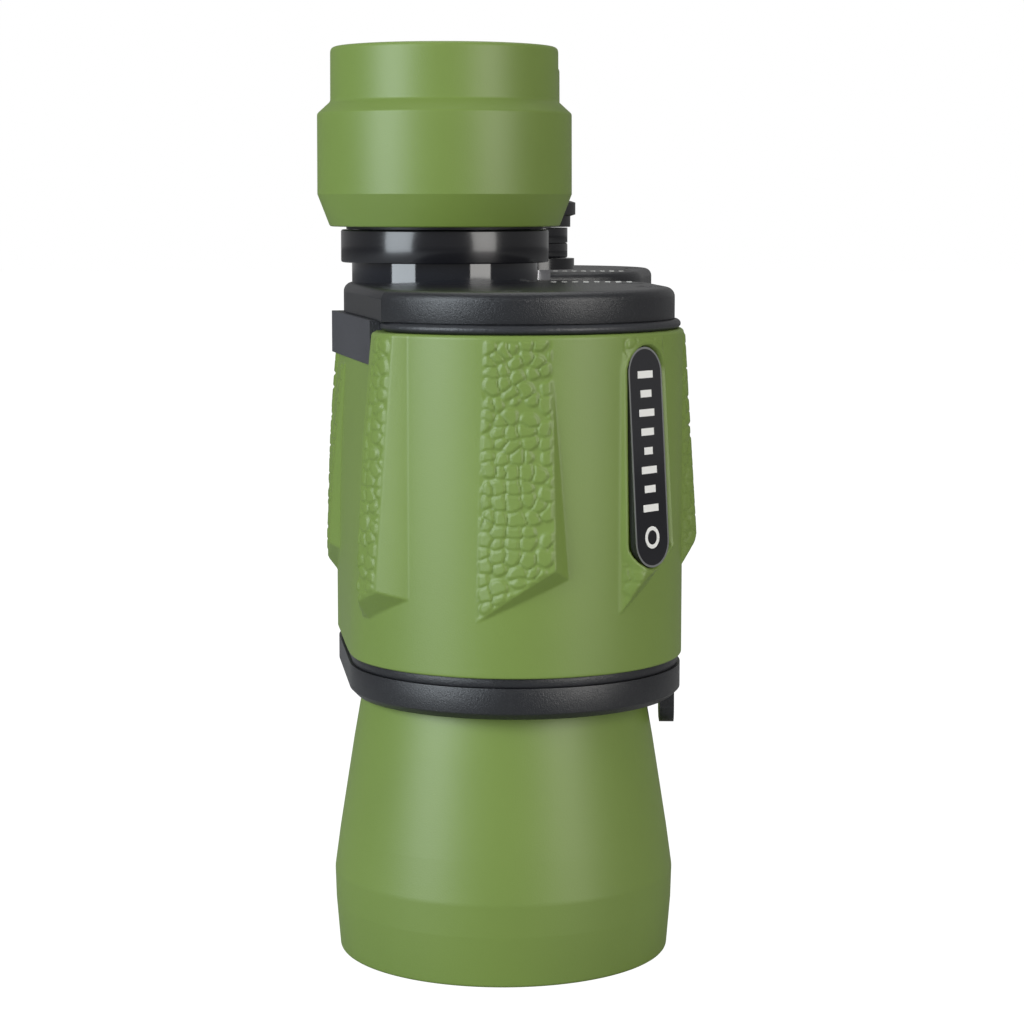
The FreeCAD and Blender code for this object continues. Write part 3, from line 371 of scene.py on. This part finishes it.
def pebble_relief(girths, heights, seed):
    """Rounded, unequal pebbles parted by narrow grooves; 0 in a groove and 1 on a pebble."""
    random = np.random.default_rng(seed)
    pitch, jitter, missing, uneven = 2.1, 0.40, 0.05, 0.25
    dome, block = 1.42, 4000
    low_u, low_z = girths.min() - 3, heights.min() - 3
    columns = int((girths.max() + 3 - low_u) / pitch) + 1
    rows = int((heights.max() + 3 - low_z) / pitch) + 1
    grid_u, grid_z = np.meshgrid(np.arange(columns), np.arange(rows))
    stones = np.stack([grid_u.ravel(), grid_z.ravel()], axis=1).astype(float)
    stones += random.uniform(-jitter, jitter, stones.shape)
    stones = stones * pitch + [low_u, low_z]
    stones = stones[random.random(len(stones)) > missing]
    size = random.uniform(-uneven, uneven, len(stones))
    points = np.stack([girths.ravel(), heights.ravel()], axis=1)
    wobble = 0.10 * np.sin(points[:, ::-1] * 2.6 + [0.7, 1.9])
    relief = np.empty(len(points))
    for start in range(0, len(points), block):
        part = points[start:start + block] + wobble[start:start + block]
        gaps = np.hypot(part[:, None, 0] - stones[None, :, 0],
                        part[:, None, 1] - stones[None, :, 1]) - size[None, :]
        two = np.partition(gaps, 1, axis=1)[:, :2]
        relief[start:start + block] = np.minimum(two[:, 1] - two[:, 0], dome - two[:, 0])
    return fade(relief, 0.02, 0.42).reshape(girths.shape)


def grown(rib, height, most):
    """How far a rib stands out at some height, from nothing where it starts."""
    return rib["rise"] * np.clip((rib["start"] - height) / (rib["start"] - rib["heel"]), 0, most)


def rib_height(girth, height):
    """How far the skin stands out at each point, and how strongly it is pebbled."""
    out = np.zeros_like(girth)
    pebbled = np.zeros_like(girth)
    for rib in RIBS:
        shift = rib["lean"] * (height - foot) / (top - foot)
        across = wrapped(girth - rib["soft"]) + rib["lean"] - shift
        width = wrapped(rib["crest"] - rib["soft"]) + rib["lean"] - shift
        rise = grown(rib, height, 1.08)
        if rib["flat"]:
            face = rise * fade(across, -0.6, 3.0)
        else:
            face = rise * np.clip(across / width, 0, None)
        side = rib["steep"] * (width - across) + rise
        cut = rib["tip"] + (rib["heel"] - rib["tip"]) * np.clip(across / width, 0, 1.2)
        slant = RIB_FOOT_SLANT * (height - cut)
        body = np.maximum(np.minimum(np.minimum(face, side), slant), 0)
        out = np.maximum(out, body)
        inside = fade(across, 0.1, 0.5) * fade(width - across, 0.15, 0.55)
        inside *= fade(slant - face, 0.1, 0.6) * fade(rib["top"] - height, 0, 0.4)
        pebbled = np.maximum(pebbled, inside)
    for rib in CORNER_RIBS:
        across = wrapped(girth - rib["crest"])
        rise = grown(rib, height, 1.0)
        side = -rib["steep"] * across
        back = 0.9 * (across + rib["back"] + rise)
        cut = rib["heel"] - 2.0 + (rib["tip"] - rib["heel"]) * np.clip(-across / rib["back"], 0, 1)
        slant = CORNER_FOOT_SLANT * (height - cut)
        head = 2.0 * (rib["top"] - height)
        if rib["top"] > SHORT_RIB_TOP:
            head = np.full_like(height, 10.0)
        body = np.minimum(np.minimum(rise, side), np.minimum(back, np.minimum(slant, head)))
        body = np.maximum(body, 0)
        out = np.maximum(out, body)
        crest = -rise / rib["steep"]
        inside = fade(crest - across, 0.3, 0.8) * fade(across - crest + rib["pebbled"], 0, 0.5)
        inside *= fade(slant - rise, 0.1, 0.6) * fade(rib["top"] - height, 0, 0.4)
        pebbled = np.maximum(pebbled, inside)
    return out, pebbled


def badge_distance(girth, height):
    """Distance outside the badge's rounded outline, negative within it."""
    across = wrapped(girth - girth_at(lobe, BADGE_TURN))
    half = BADGE_WIDTH / 2
    along = np.clip(height, BADGE_FOOT + half, BADGE_TOP - half)
    return np.hypot(across, height - along) - half


RIBS_FROM = 52.6
TOP_ROUND, FOOT_ROUND = 0.6, 0.26
SHOULDER_DEPTH = 6.9
SHOULDER_FROM, SHOULDER_TO = -49.3, -10.3
HINGE_WINDOW_TOP, HINGE_WINDOW_HALF = 92.0, 6.8
ON_FLANK = 0.55
PEBBLE_HEIGHT, PEBBLE_SINK = 0.32, 0.10
BADGE_LIP, BADGE_RECESS = 0.22, 2.4


def columns_round():
    """Angles of the mesh columns: close together on the ribs, wide apart between them."""
    close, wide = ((0.24, 0.9))
    marks = [0.0]
    while marks[-1] < GIRTH:
        here = marks[-1]
        near = any(-1.5 < wrapped(here - rib["soft"]) < wrapped(rib["crest"] - rib["soft"]) + 3.4
                   for rib in RIBS)
        near = near or any(-rib["back"] - 3 < wrapped(here - rib["crest"]) < 1.0
                           for rib in CORNER_RIBS)
        marks.append(here + (close if near else wide))
    marks = np.array(marks[:-1])
    return np.interp(marks, fine_girth, np.append(fine_angles, 2 * math.pi)), marks


def rows_up():
    """Heights of the mesh rows: close together at the foot rim, on the ribs and at the top."""
    close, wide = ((0.24, 1.2))
    lower = np.concatenate([foot + np.array([0, 0.08, 0.16, 0.26, 0.5]),
                            np.arange(foot + 1.0, RIBS_FROM, wide)])
    ribbed = np.arange(RIBS_FROM, top - TOP_ROUND, close)
    edge = top - TOP_ROUND * (1 - np.sin(np.linspace(0, math.pi / 2, 5)))
    return np.concatenate([lower, ribbed, edge])


def finished_mesh(mesh, name, smooth=True):
    """Closes a bmesh into mesh data with its faces turned outwards."""
    bmesh.ops.recalc_face_normals(mesh, faces=mesh.faces)
    data = bpy.data.meshes.new(name)
    mesh.to_mesh(data)
    mesh.free()
    if smooth:
        data.shade_smooth()
    return data


def armour_mesh(name):
    """The skin with its ribs, pebbles, badge recess and bare places, and its turned-in rims."""
    angles, marks = columns_round()
    heights = rows_up()
    notch_foot = casting_top - SHOULDER_DEPTH
    for level in (notch_foot, HINGE_WINDOW_TOP):
        heights[np.argmin(np.abs(heights - level))] = level
    plain_skin = skin_points(angles, heights)
    ahead = np.roll(plain_skin, -1, axis=1) - np.roll(plain_skin, 1, axis=1)
    length = np.hypot(ahead[..., 0], ahead[..., 1])
    outward = np.stack([ahead[..., 1], -ahead[..., 0]], axis=2) / length[..., None]
    girth = np.broadcast_to(marks, plain_skin.shape[:2])
    height = np.broadcast_to(heights[:, None], plain_skin.shape[:2])
    out, pebbled = rib_height(girth, height)
    gap = badge_distance(girth, height)
    pebbled = pebbled * fade(gap, 1.0, 1.5)
    near = pebbled > 0
    relief = np.zeros_like(out)
    relief[near] = pebble_relief(wrapped(girth[near]), height[near], 11)
    out = out + pebbled * (PEBBLE_HEIGHT * relief - PEBBLE_SINK)
    lip = BADGE_LIP * np.exp(-((gap - 0.75) / 0.42) ** 2)
    out = out + lip - BADGE_RECESS * fade(-gap, -0.32, 0.05)
    round_over = np.clip((height - (top - TOP_ROUND)) / TOP_ROUND, 0, 1)
    out = out - TOP_ROUND * (1 - np.sqrt(1 - round_over ** 2))
    out = out - 0.14 * np.clip((foot + FOOT_ROUND - height) / FOOT_ROUND, 0, 1) ** 2
    points = plain_skin + outward * out[..., None]
    # bare places: the casting's shoulder on the flank and the hinge side
    flank_run = (plain_skin - FLANK_POINT) @ FLANK_ALONG
    on_flank = outward @ FLANK_OUT > ON_FLANK
    in_run = (flank_run > SHOULDER_FROM) & (flank_run < SHOULDER_TO)
    notch = on_flank & in_run & (height >= notch_foot - 1e-3)
    beside = np.abs(plain_skin[..., 1] - hinge[1]) < HINGE_WINDOW_HALF
    window = beside & (plain_skin[..., 0] < bend[0]) & (height <= HINGE_WINDOW_TOP + 1e-3)
    bare = notch | window
    rows, columns = bare.shape
    mesh = bmesh.new()
    grid = {}
    inward = {}
    for row in range(rows):
        for column in range(columns):
            x, y = points[row, column] * MM
            vertex = mesh.verts.new((x, y, heights[row] * MM))
            grid[row, column] = vertex
            inward[vertex] = Vector((*(-outward[row, column] * (SKIN - 0.1) * MM), 0))
    for row in range(rows - 1):
        for column in range(columns):
            after = (column + 1) % columns
            if (bare[row, column] and bare[row + 1, column]
                    and bare[row, after] and bare[row + 1, after]):
                continue
            mesh.faces.new((grid[row, column], grid[row, after],
                            grid[row + 1, after], grid[row + 1, column]))
    loose = [vertex for vertex in mesh.verts if not vertex.link_faces]
    bmesh.ops.delete(mesh, geom=loose, context="VERTS")
    # every open rim is carried inwards to the casting, so that the skin shows its thickness
    rims = [edge for edge in mesh.edges if edge.is_boundary]
    rim_starts = {vertex: vertex.co.copy() for edge in rims for vertex in edge.verts}
    made = bmesh.ops.extrude_edge_only(mesh, edges=rims)["geom"]
    spots = {tuple(round(part, 8) for part in place): inward[vertex]
             for vertex, place in rim_starts.items()}
    for vertex in made:
        if isinstance(vertex, bmesh.types.BMVert):
            vertex.co += spots[tuple(round(part, 8) for part in vertex.co)]
    return finished_mesh(mesh, name)


def twin_of(data, name):
    """The left-hand mirror image of a right-hand mesh."""
    other = data.copy()
    other.name = name
    other.transform(Matrix.Scale(-1, 4, (1, 0, 0)))
    other.flip_normals()
    return other


def add_pair(name, right_data, material, body, replaced=None):
    """Adds a right-hand mesh and its left-hand twin, with what they ride on and stand for."""
    left_data = twin_of(right_data, "left_" + name)
    for side, data in (("right_", right_data), ("left_", left_data)):
        piece = bpy.data.objects.new(side + name, data)
        bpy.context.scene.collection.objects.link(piece)
        data.materials.clear()
        data.materials.append(material)
        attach(piece, side + body)
        if replaced:
            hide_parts(side + replaced)


right_skin = armour_mesh("right_rubber_armour")
add_pair("rubber_armour", right_skin, green_rubber, "barrel", "armour")


# --- Lens hoods and eyecups -----------------------------------------------------------------
# Plain turned shapes in the same green rubber. The hoods are pushed over the objective tubes and
# the eyecups over the ocular housings; only their corners are softened.
def soften(points, steps=7):
    """Rounds every corner of a half section; each point is (radius, height, rounding)."""
    smooth = []
    count = len(points)
    for index in range(count):
        here = np.array(points[index][:2], float)
        before = np.array(points[index - 1][:2], float)
        after = np.array(points[(index + 1) % count][:2], float)
        want = points[index][2]
        to_before, to_after = before - here, after - here
        long_before, long_after = np.hypot(*to_before), np.hypot(*to_after)
        to_before, to_after = to_before / long_before, to_after / long_after
        half = math.acos(np.clip(to_before @ to_after, -1, 1)) / 2
        if half > math.radians(89.5):
            smooth.append(here)
            continue
        run = min(want / math.tan(half), long_before * 0.48, long_after * 0.48)
        first, last = here + to_before * run, here + to_after * run
        for share in np.linspace(0, 1, steps):
            smooth.append((1 - share) ** 2 * first + 2 * share * (1 - share) * here
                          + share ** 2 * last)
    return smooth


def turned(name, section, axis, steps=192):
    """A mesh turned from a closed half section of (radius, height, rounding) points."""
    outline = soften(section)
    rings = []
    mesh = bmesh.new()
    for across, height in outline:
        ring = []
        for index in range(steps):
            angle = 2 * math.pi * index / steps
            ring.append(mesh.verts.new((axis[0] * MM + across * MM * math.cos(angle),
                                        axis[1] * MM + across * MM * math.sin(angle),
                                        height * MM)))
        rings.append(ring)
    for one, two in zip(rings, rings[1:] + rings[:1]):
        for index in range(steps):
            after = (index + 1) % steps
            mesh.faces.new((one[index], one[after], two[after], two[index]))
    return finished_mesh(mesh, name)


hood_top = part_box("right_hood")[1][2] / MM
hood_section = [
    (24.3, 0.0, 0.5), (26.3, 0.0, 0.6), (26.95, 8.0, 4.0), (27.1, 13.0, 5.0), (26.2, 19.5, 12.0),
    (23.9, 34.0, 10.0), (22.6, hood_top, 0.1), (21.5, hood_top, 0.1), (21.5, 6.7, 0.3),
]
right_hood = turned("right_lens_hood", hood_section, objective)
add_pair("lens_hood", right_hood, green_rubber, "barrel", "hood")

cup_low, cup_high = [corner[2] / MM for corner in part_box("right_eyecup")]
cup_section = [
    (16.5, cup_low, 0.2), (19.1, cup_low, 0.5), (21.15, cup_low + 5.3, 0.35),
    (21.1, cup_low + 18.5, 0.7), (18.9, cup_low + 20.5, 0.9), (18.85, cup_high, 1.5),
    (16.9, cup_high, 0.8), (16.5, cup_low + 20.2, 0.3),
]
right_cup = turned("right_soft_eyecup", cup_section, eyepiece)
add_pair("soft_eyecup", right_cup, green_rubber, "ocular", "eyecup")


# --- Painted castings, plates and rings -----------------------------------------------------
# The prism castings are die-cast and painted a grained grey-black, the cover plates and turned
# front rings a satin black and the bridge arms a gloss black; deburring has broken their edges.
satin_black = finish("satin_black_plate", (0.013, 0.0135, 0.016), 0.30, grains=4200.0,
                     depth=0.065, drift=0.10, shade=0.12)
grey_casting = finish("grey_casting", (0.042, 0.042, 0.049), 0.44, grains=3000.0, depth=0.12,
                      drift=0.08, shade=0.12)
enamel = finish("black_enamel", (0.007, 0.007, 0.009), 0.20, grains=900.0, depth=0.004,
                drift=0.06, shade=0.05, coat=0.25)


def dress(node, material):
    """Gives a piece of the frame its finish."""
    data = nodes[node].data
    data.materials.clear()
    data.materials.append(material)


def break_edges(node, width):
    """Narrow rounded edges, as moulding and deburring leave them."""
    seams = nodes[node].modifiers.new("closed_seams", "WELD")
    seams.merge_threshold = 0.002 * MM
    edge = nodes[node].modifiers.new("broken_edges", "BEVEL")
    edge.width = width * MM
    edge.segments = 2
    edge.limit_method = "ANGLE"
    edge.angle_limit = math.radians(35)


for side in ("right", "left"):
    dress(side + "_prism_housing", grey_casting)
    dress(side + "_prism_shelf", grey_casting)
    dress(side + "_cover_plate", satin_black)
    dress(side + "_front_ring", satin_black)
    dress(side + "_front_trim", satin_black)
    dress(side + "_bridge_arm", enamel)
    for node, width in (("_prism_housing", 0.6), ("_cover_plate", 0.3), ("_front_ring", 0.3),
                        ("_front_trim", 0.2), ("_bridge_arm", 0.3)):
        break_edges(side + node, width)
dress("spindle_collar", enamel)
dress("hinge_tube", enamel)


# --- Oculars, lenses and prisms -------------------------------------------------------------
# Polished black ocular tubes slide in the cover plates. The housings and cells that carry the
# coated lenses are turned aluminium, anodised a dull black; the prisms are clear glass.
polished_black = finish("polished_black", (0.010, 0.011, 0.015), 0.07, grains=500.0, depth=0.001,
                        drift=0.03, shade=0.04, coat=0.5)
dull_black = finish("matt_black_tube", (0.018, 0.018, 0.019), 0.48, grains=3000.0, depth=0.02,
                    drift=0.10, shade=0.12)
for side in ("right", "left"):
    dress(side + "_eyepiece_tube", polished_black)
    for node in ("_ocular_housing", "_lens_cell", "_objective_tube", "_lens_retaining_ring"):
        dress(side + node, dull_black)


def glass(name, tint, coating):
    """Polished optical glass; the coating gives its faint coloured reflection."""
    material = bpy.data.materials.new(name)
    material.use_nodes = True
    new, link = material.node_tree.nodes.new, material.node_tree.links.new
    shader = material.node_tree.nodes["Principled BSDF"]
    shader.inputs["Base Color"].default_value = (*tint, 1)
    shader.inputs["Metallic"].default_value = 0.0
    shader.inputs["IOR"].default_value = 1.52
    shader.inputs["Transmission Weight"].default_value = 1.0
    shader.inputs["Specular Tint"].default_value = (*coating, 1)
    dust = new("ShaderNodeTexNoise")
    dust.inputs["Scale"].default_value = 700.0
    place = new("ShaderNodeTexCoord")
    link(place.outputs["Object"], dust.inputs["Vector"])
    spread = new("ShaderNodeMapRange")
    spread.inputs["To Min"].default_value = 0.01
    spread.inputs["To Max"].default_value = 0.035
    link(dust.outputs["Fac"], spread.inputs["Value"])
    link(spread.outputs["Result"], shader.inputs["Roughness"])
    return material


coated_glass = glass("coated_glass", (0.93, 0.98, 0.95), (0.35, 0.75, 0.55))
clear_glass = glass("clear_glass", (0.96, 0.99, 0.97), (1.0, 1.0, 1.0))
for side in ("right", "left"):
    for lens in ("objective_lens", "eye_lens", "field_lens"):
        dress(side + "_" + lens, coated_glass)
    for prism in ("objective_prism", "eyepiece_prism"):
        dress(side + "_" + prism, clear_glass)


# --- Hinge, focusing gear and small metalwork -----------------------------------------------
# The focus wheel has a knurled black rubber grip on a plastic core that runs on the hinge tube.
# Washers and the tripod socket are brass; clips, spindle and screws are steel.
black_plastic = finish("black_plastic", (0.016, 0.016, 0.018), 0.38, grains=2400.0, depth=0.02,
                       drift=0.08, shade=0.08)
black_rubber = finish("black_rubber", (0.016, 0.016, 0.016), 0.66, grains=3200.0, depth=0.03,
                      drift=0.08, shade=0.12)
brass = finish("brass", (0.66, 0.47, 0.20), 0.28, grains=1800.0, depth=0.004, drift=0.12,
               shade=0.08, metallic=1.0)
bright_steel = finish("spring_steel", (0.52, 0.52, 0.54), 0.26, grains=1800.0, depth=0.003,
                      drift=0.12, shade=0.05, metallic=1.0)
dark_steel = finish("dark_steel", (0.05, 0.05, 0.055), 0.32, grains=2200.0, depth=0.004,
                    drift=0.12, shade=0.10, metallic=1.0)
dress("focus_wheel_core", black_plastic)
dress("focus_wheel_grip", black_rubber)
dress("spindle_cap", black_plastic)
dress("focus_spindle", bright_steel)
dress("wheel_circlip", bright_steel)
dress("hinge_washers", brass)
dress("tripod_socket", brass)
for side in ("right", "left"):
    dress(side + "_prism_clips", bright_steel)
    dress(side + "_cover_screws", dark_steel)


# --- Gasket beads under the cover plates ----------------------------------------------------
# A round black rubber cord is squeezed between the armour and the cover plate. It ends at both
# sides of the casting's bare shoulder on the flank.
gasket = finish("black_gasket", (0.022, 0.023, 0.027), 0.40, grains=1500.0, depth=0.09,
                drift=0.10, shade=0.15)


BEAD_PROUD = 1.2
BEAD_SIDES = 16
BEAD_ENDS_FROM, BEAD_ENDS_TO = -50.0, -9.6


def bead_mesh(name):
    """The cord laid along the rim of the skin, with its two ends rounded off."""
    low, high = [corner[2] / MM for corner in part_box("right_cover_bead")]
    middle, half = (low + high) / 2, (high - low) / 2
    marks = np.arange(0, GIRTH, 0.7)
    angles = np.interp(marks, fine_girth, np.append(fine_angles, 2 * math.pi))
    inset = -SKIN + BEAD_PROUD - half
    line = skin_points(angles, np.array([casting_top]), growth=inset, corner=1.5)[0]
    ahead = np.roll(line, -1, axis=0) - np.roll(line, 1, axis=0)
    out = np.stack([ahead[:, 1], -ahead[:, 0]], axis=1) / np.hypot(*ahead.T)[:, None]
    run = (line - FLANK_POINT) @ FLANK_ALONG
    bare = (out @ FLANK_OUT > ON_FLANK) & (run > BEAD_ENDS_FROM) & (run < BEAD_ENDS_TO)
    count = len(bare)
    start = next(index for index in range(count)
                 if bare[index] and not bare[(index + 1) % count])
    order = [(start + 1 + step) % count for step in range(int((~bare).sum()))]
    mesh = bmesh.new()
    rings = []
    for number, index in enumerate(order):
        end = min(number, len(order) - 1 - number)
        swell = math.sin(min(1.0, (end + 0.35) / 1.6) * math.pi / 2)
        ring = []
        for step in range(BEAD_SIDES):
            angle = 2 * math.pi * step / BEAD_SIDES
            shift = out[index] * math.cos(angle) * (half + 0.15) * swell
            x, y = (line[index] + shift) * MM
            height = middle + math.sin(angle) * half * 0.98 * swell
            ring.append(mesh.verts.new((x, y, height * MM)))
        rings.append(ring)
    for one, two in zip(rings, rings[1:]):
        for step in range(BEAD_SIDES):
            after = (step + 1) % BEAD_SIDES
            mesh.faces.new((one[step], two[step], two[after], one[after]))
    mesh.faces.new(rings[0])
    mesh.faces.new(rings[-1][::-1])
    return finished_mesh(mesh, name)


right_bead = bead_mesh("right_gasket_bead")
add_pair("gasket_bead", right_bead, gasket, "barrel", "cover_bead")


# --- Badges and printed marks ---------------------------------------------------------------
# A glossy black plastic plate with round ends and a thin bright rim sits in a recess of the badge
# rib. Its mark is a column of plain bars over a ring; each cover has a row of printed dashes.
gloss_black = finish("gloss_black_label", (0.010, 0.010, 0.013), 0.10, grains=400.0, depth=0.001,
                     drift=0.03, shade=0.03, coat=0.6)
print_white = finish("white_print", (0.80, 0.80, 0.78), 0.45, grains=3000.0, depth=0.002,
                     drift=0.05, shade=0.03)
bright_rim = finish("bright_rim", (0.62, 0.63, 0.62), 0.22, grains=1500.0, depth=0.002,
                    drift=0.06, shade=0.05, metallic=1.0)
for side in ("right", "left"):
    dress(side + "_badge", gloss_black)


def printed(name, shapes, origin, across, along, thickness=0.03):
    """Thin raised shapes on a flat face; each is an outer loop and an inner one."""
    outward = across.cross(along).normalized()
    mesh = bmesh.new()
    for outer, inner in shapes:
        layers = []
        for loop in (outer, inner):
            for lift in (0.0, thickness):
                base = outward * lift
                layers.append([mesh.verts.new((origin + across * x + along * y + base) * MM)
                               for x, y in loop])
        low_out, high_out, low_in, high_in = layers
        count = len(outer)
        for index in range(count):
            after = (index + 1) % count
            for one, two in ((low_out, high_out), (high_out, high_in), (high_in, low_in)):
                mesh.faces.new((one[index], one[after], two[after], two[index]))
    return finished_mesh(mesh, name, smooth=False)


def box_corners(x, y, half_width, half_height):
    left, right, low, high = x - half_width, x + half_width, y - half_height, y + half_height
    return [(left, low), (right, low), (right, high), (left, high)]


def bar(x, y, width, height):
    """A bar that is solid, because its inner loop shrinks to almost a point."""
    core = 0.001
    return box_corners(x, y, width / 2, height / 2), box_corners(x, y, core, core)


def stadium(half_width, half_length, steps=20):
    """Points round a plate with two round ends, centred on its origin."""
    points = []
    for sign, start in ((1, 0.0), (-1, math.pi)):
        for step in range(steps + 1):
            angle = start + math.pi * step / steps
            points.append((half_width * math.cos(angle),
                           sign * (half_length - half_width) + half_width * math.sin(angle)))
    return points


badge_out = Vector((math.cos(math.radians(BADGE_TURN)), math.sin(math.radians(BADGE_TURN)), 0))
badge_across = Vector((-badge_out.y, badge_out.x, 0))
# distance of the badge's face from the lobe's axis, at its foot and at its top
BADGE_FACE_LOW, BADGE_FACE_HIGH = 28.30, 26.14
RIM_WIDTH = 0.32
RING_PLACE = -12.2
badge_foot = Vector((*lobe, BADGE_FOOT)) + badge_out * BADGE_FACE_LOW
badge_head = Vector((*lobe, BADGE_TOP)) + badge_out * BADGE_FACE_HIGH
badge_middle = (badge_foot + badge_head) / 2
badge_along = (badge_head - badge_foot).normalized()
half_badge = (badge_head - badge_foot).length / 2
rim = [(stadium(BADGE_WIDTH / 2, half_badge),
        stadium(BADGE_WIDTH / 2 - RIM_WIDTH, half_badge - RIM_WIDTH))]
ring_edges = [[(x, y + RING_PLACE) for x, y in stadium(radius, radius)] for radius in (1.7, 1.1)]
mark = [tuple(ring_edges)]
for number, width in enumerate((3.6, 2.6, 3.6, 3.0, 2.0, 3.6, 2.6, 3.6)):
    mark.append(bar(0.0, 12.6 - number * 2.9, width, 1.1))
dashes = [bar(0.0, step * 1.8, 4.2 if step % 3 else 6.0, 0.9) for step in range(8)]
plate_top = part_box("right_cover_plate")[1][2] / MM
flat_parts = [
    ("badge_rim", rim, badge_middle, badge_across, badge_along, bright_rim),
    ("badge_mark", mark, badge_middle, badge_across, badge_along, print_white),
    ("plate_scale", dashes, Vector((33.4, 8.2, plate_top)), Vector((1, 0, 0)), Vector((0, 1, 0)),
     print_white),
]
for name, shapes, origin, across, along, material in flat_parts:
    right_print = printed("right_" + name, shapes, origin, across, along)
    add_pair(name, right_print, material, "barrel")
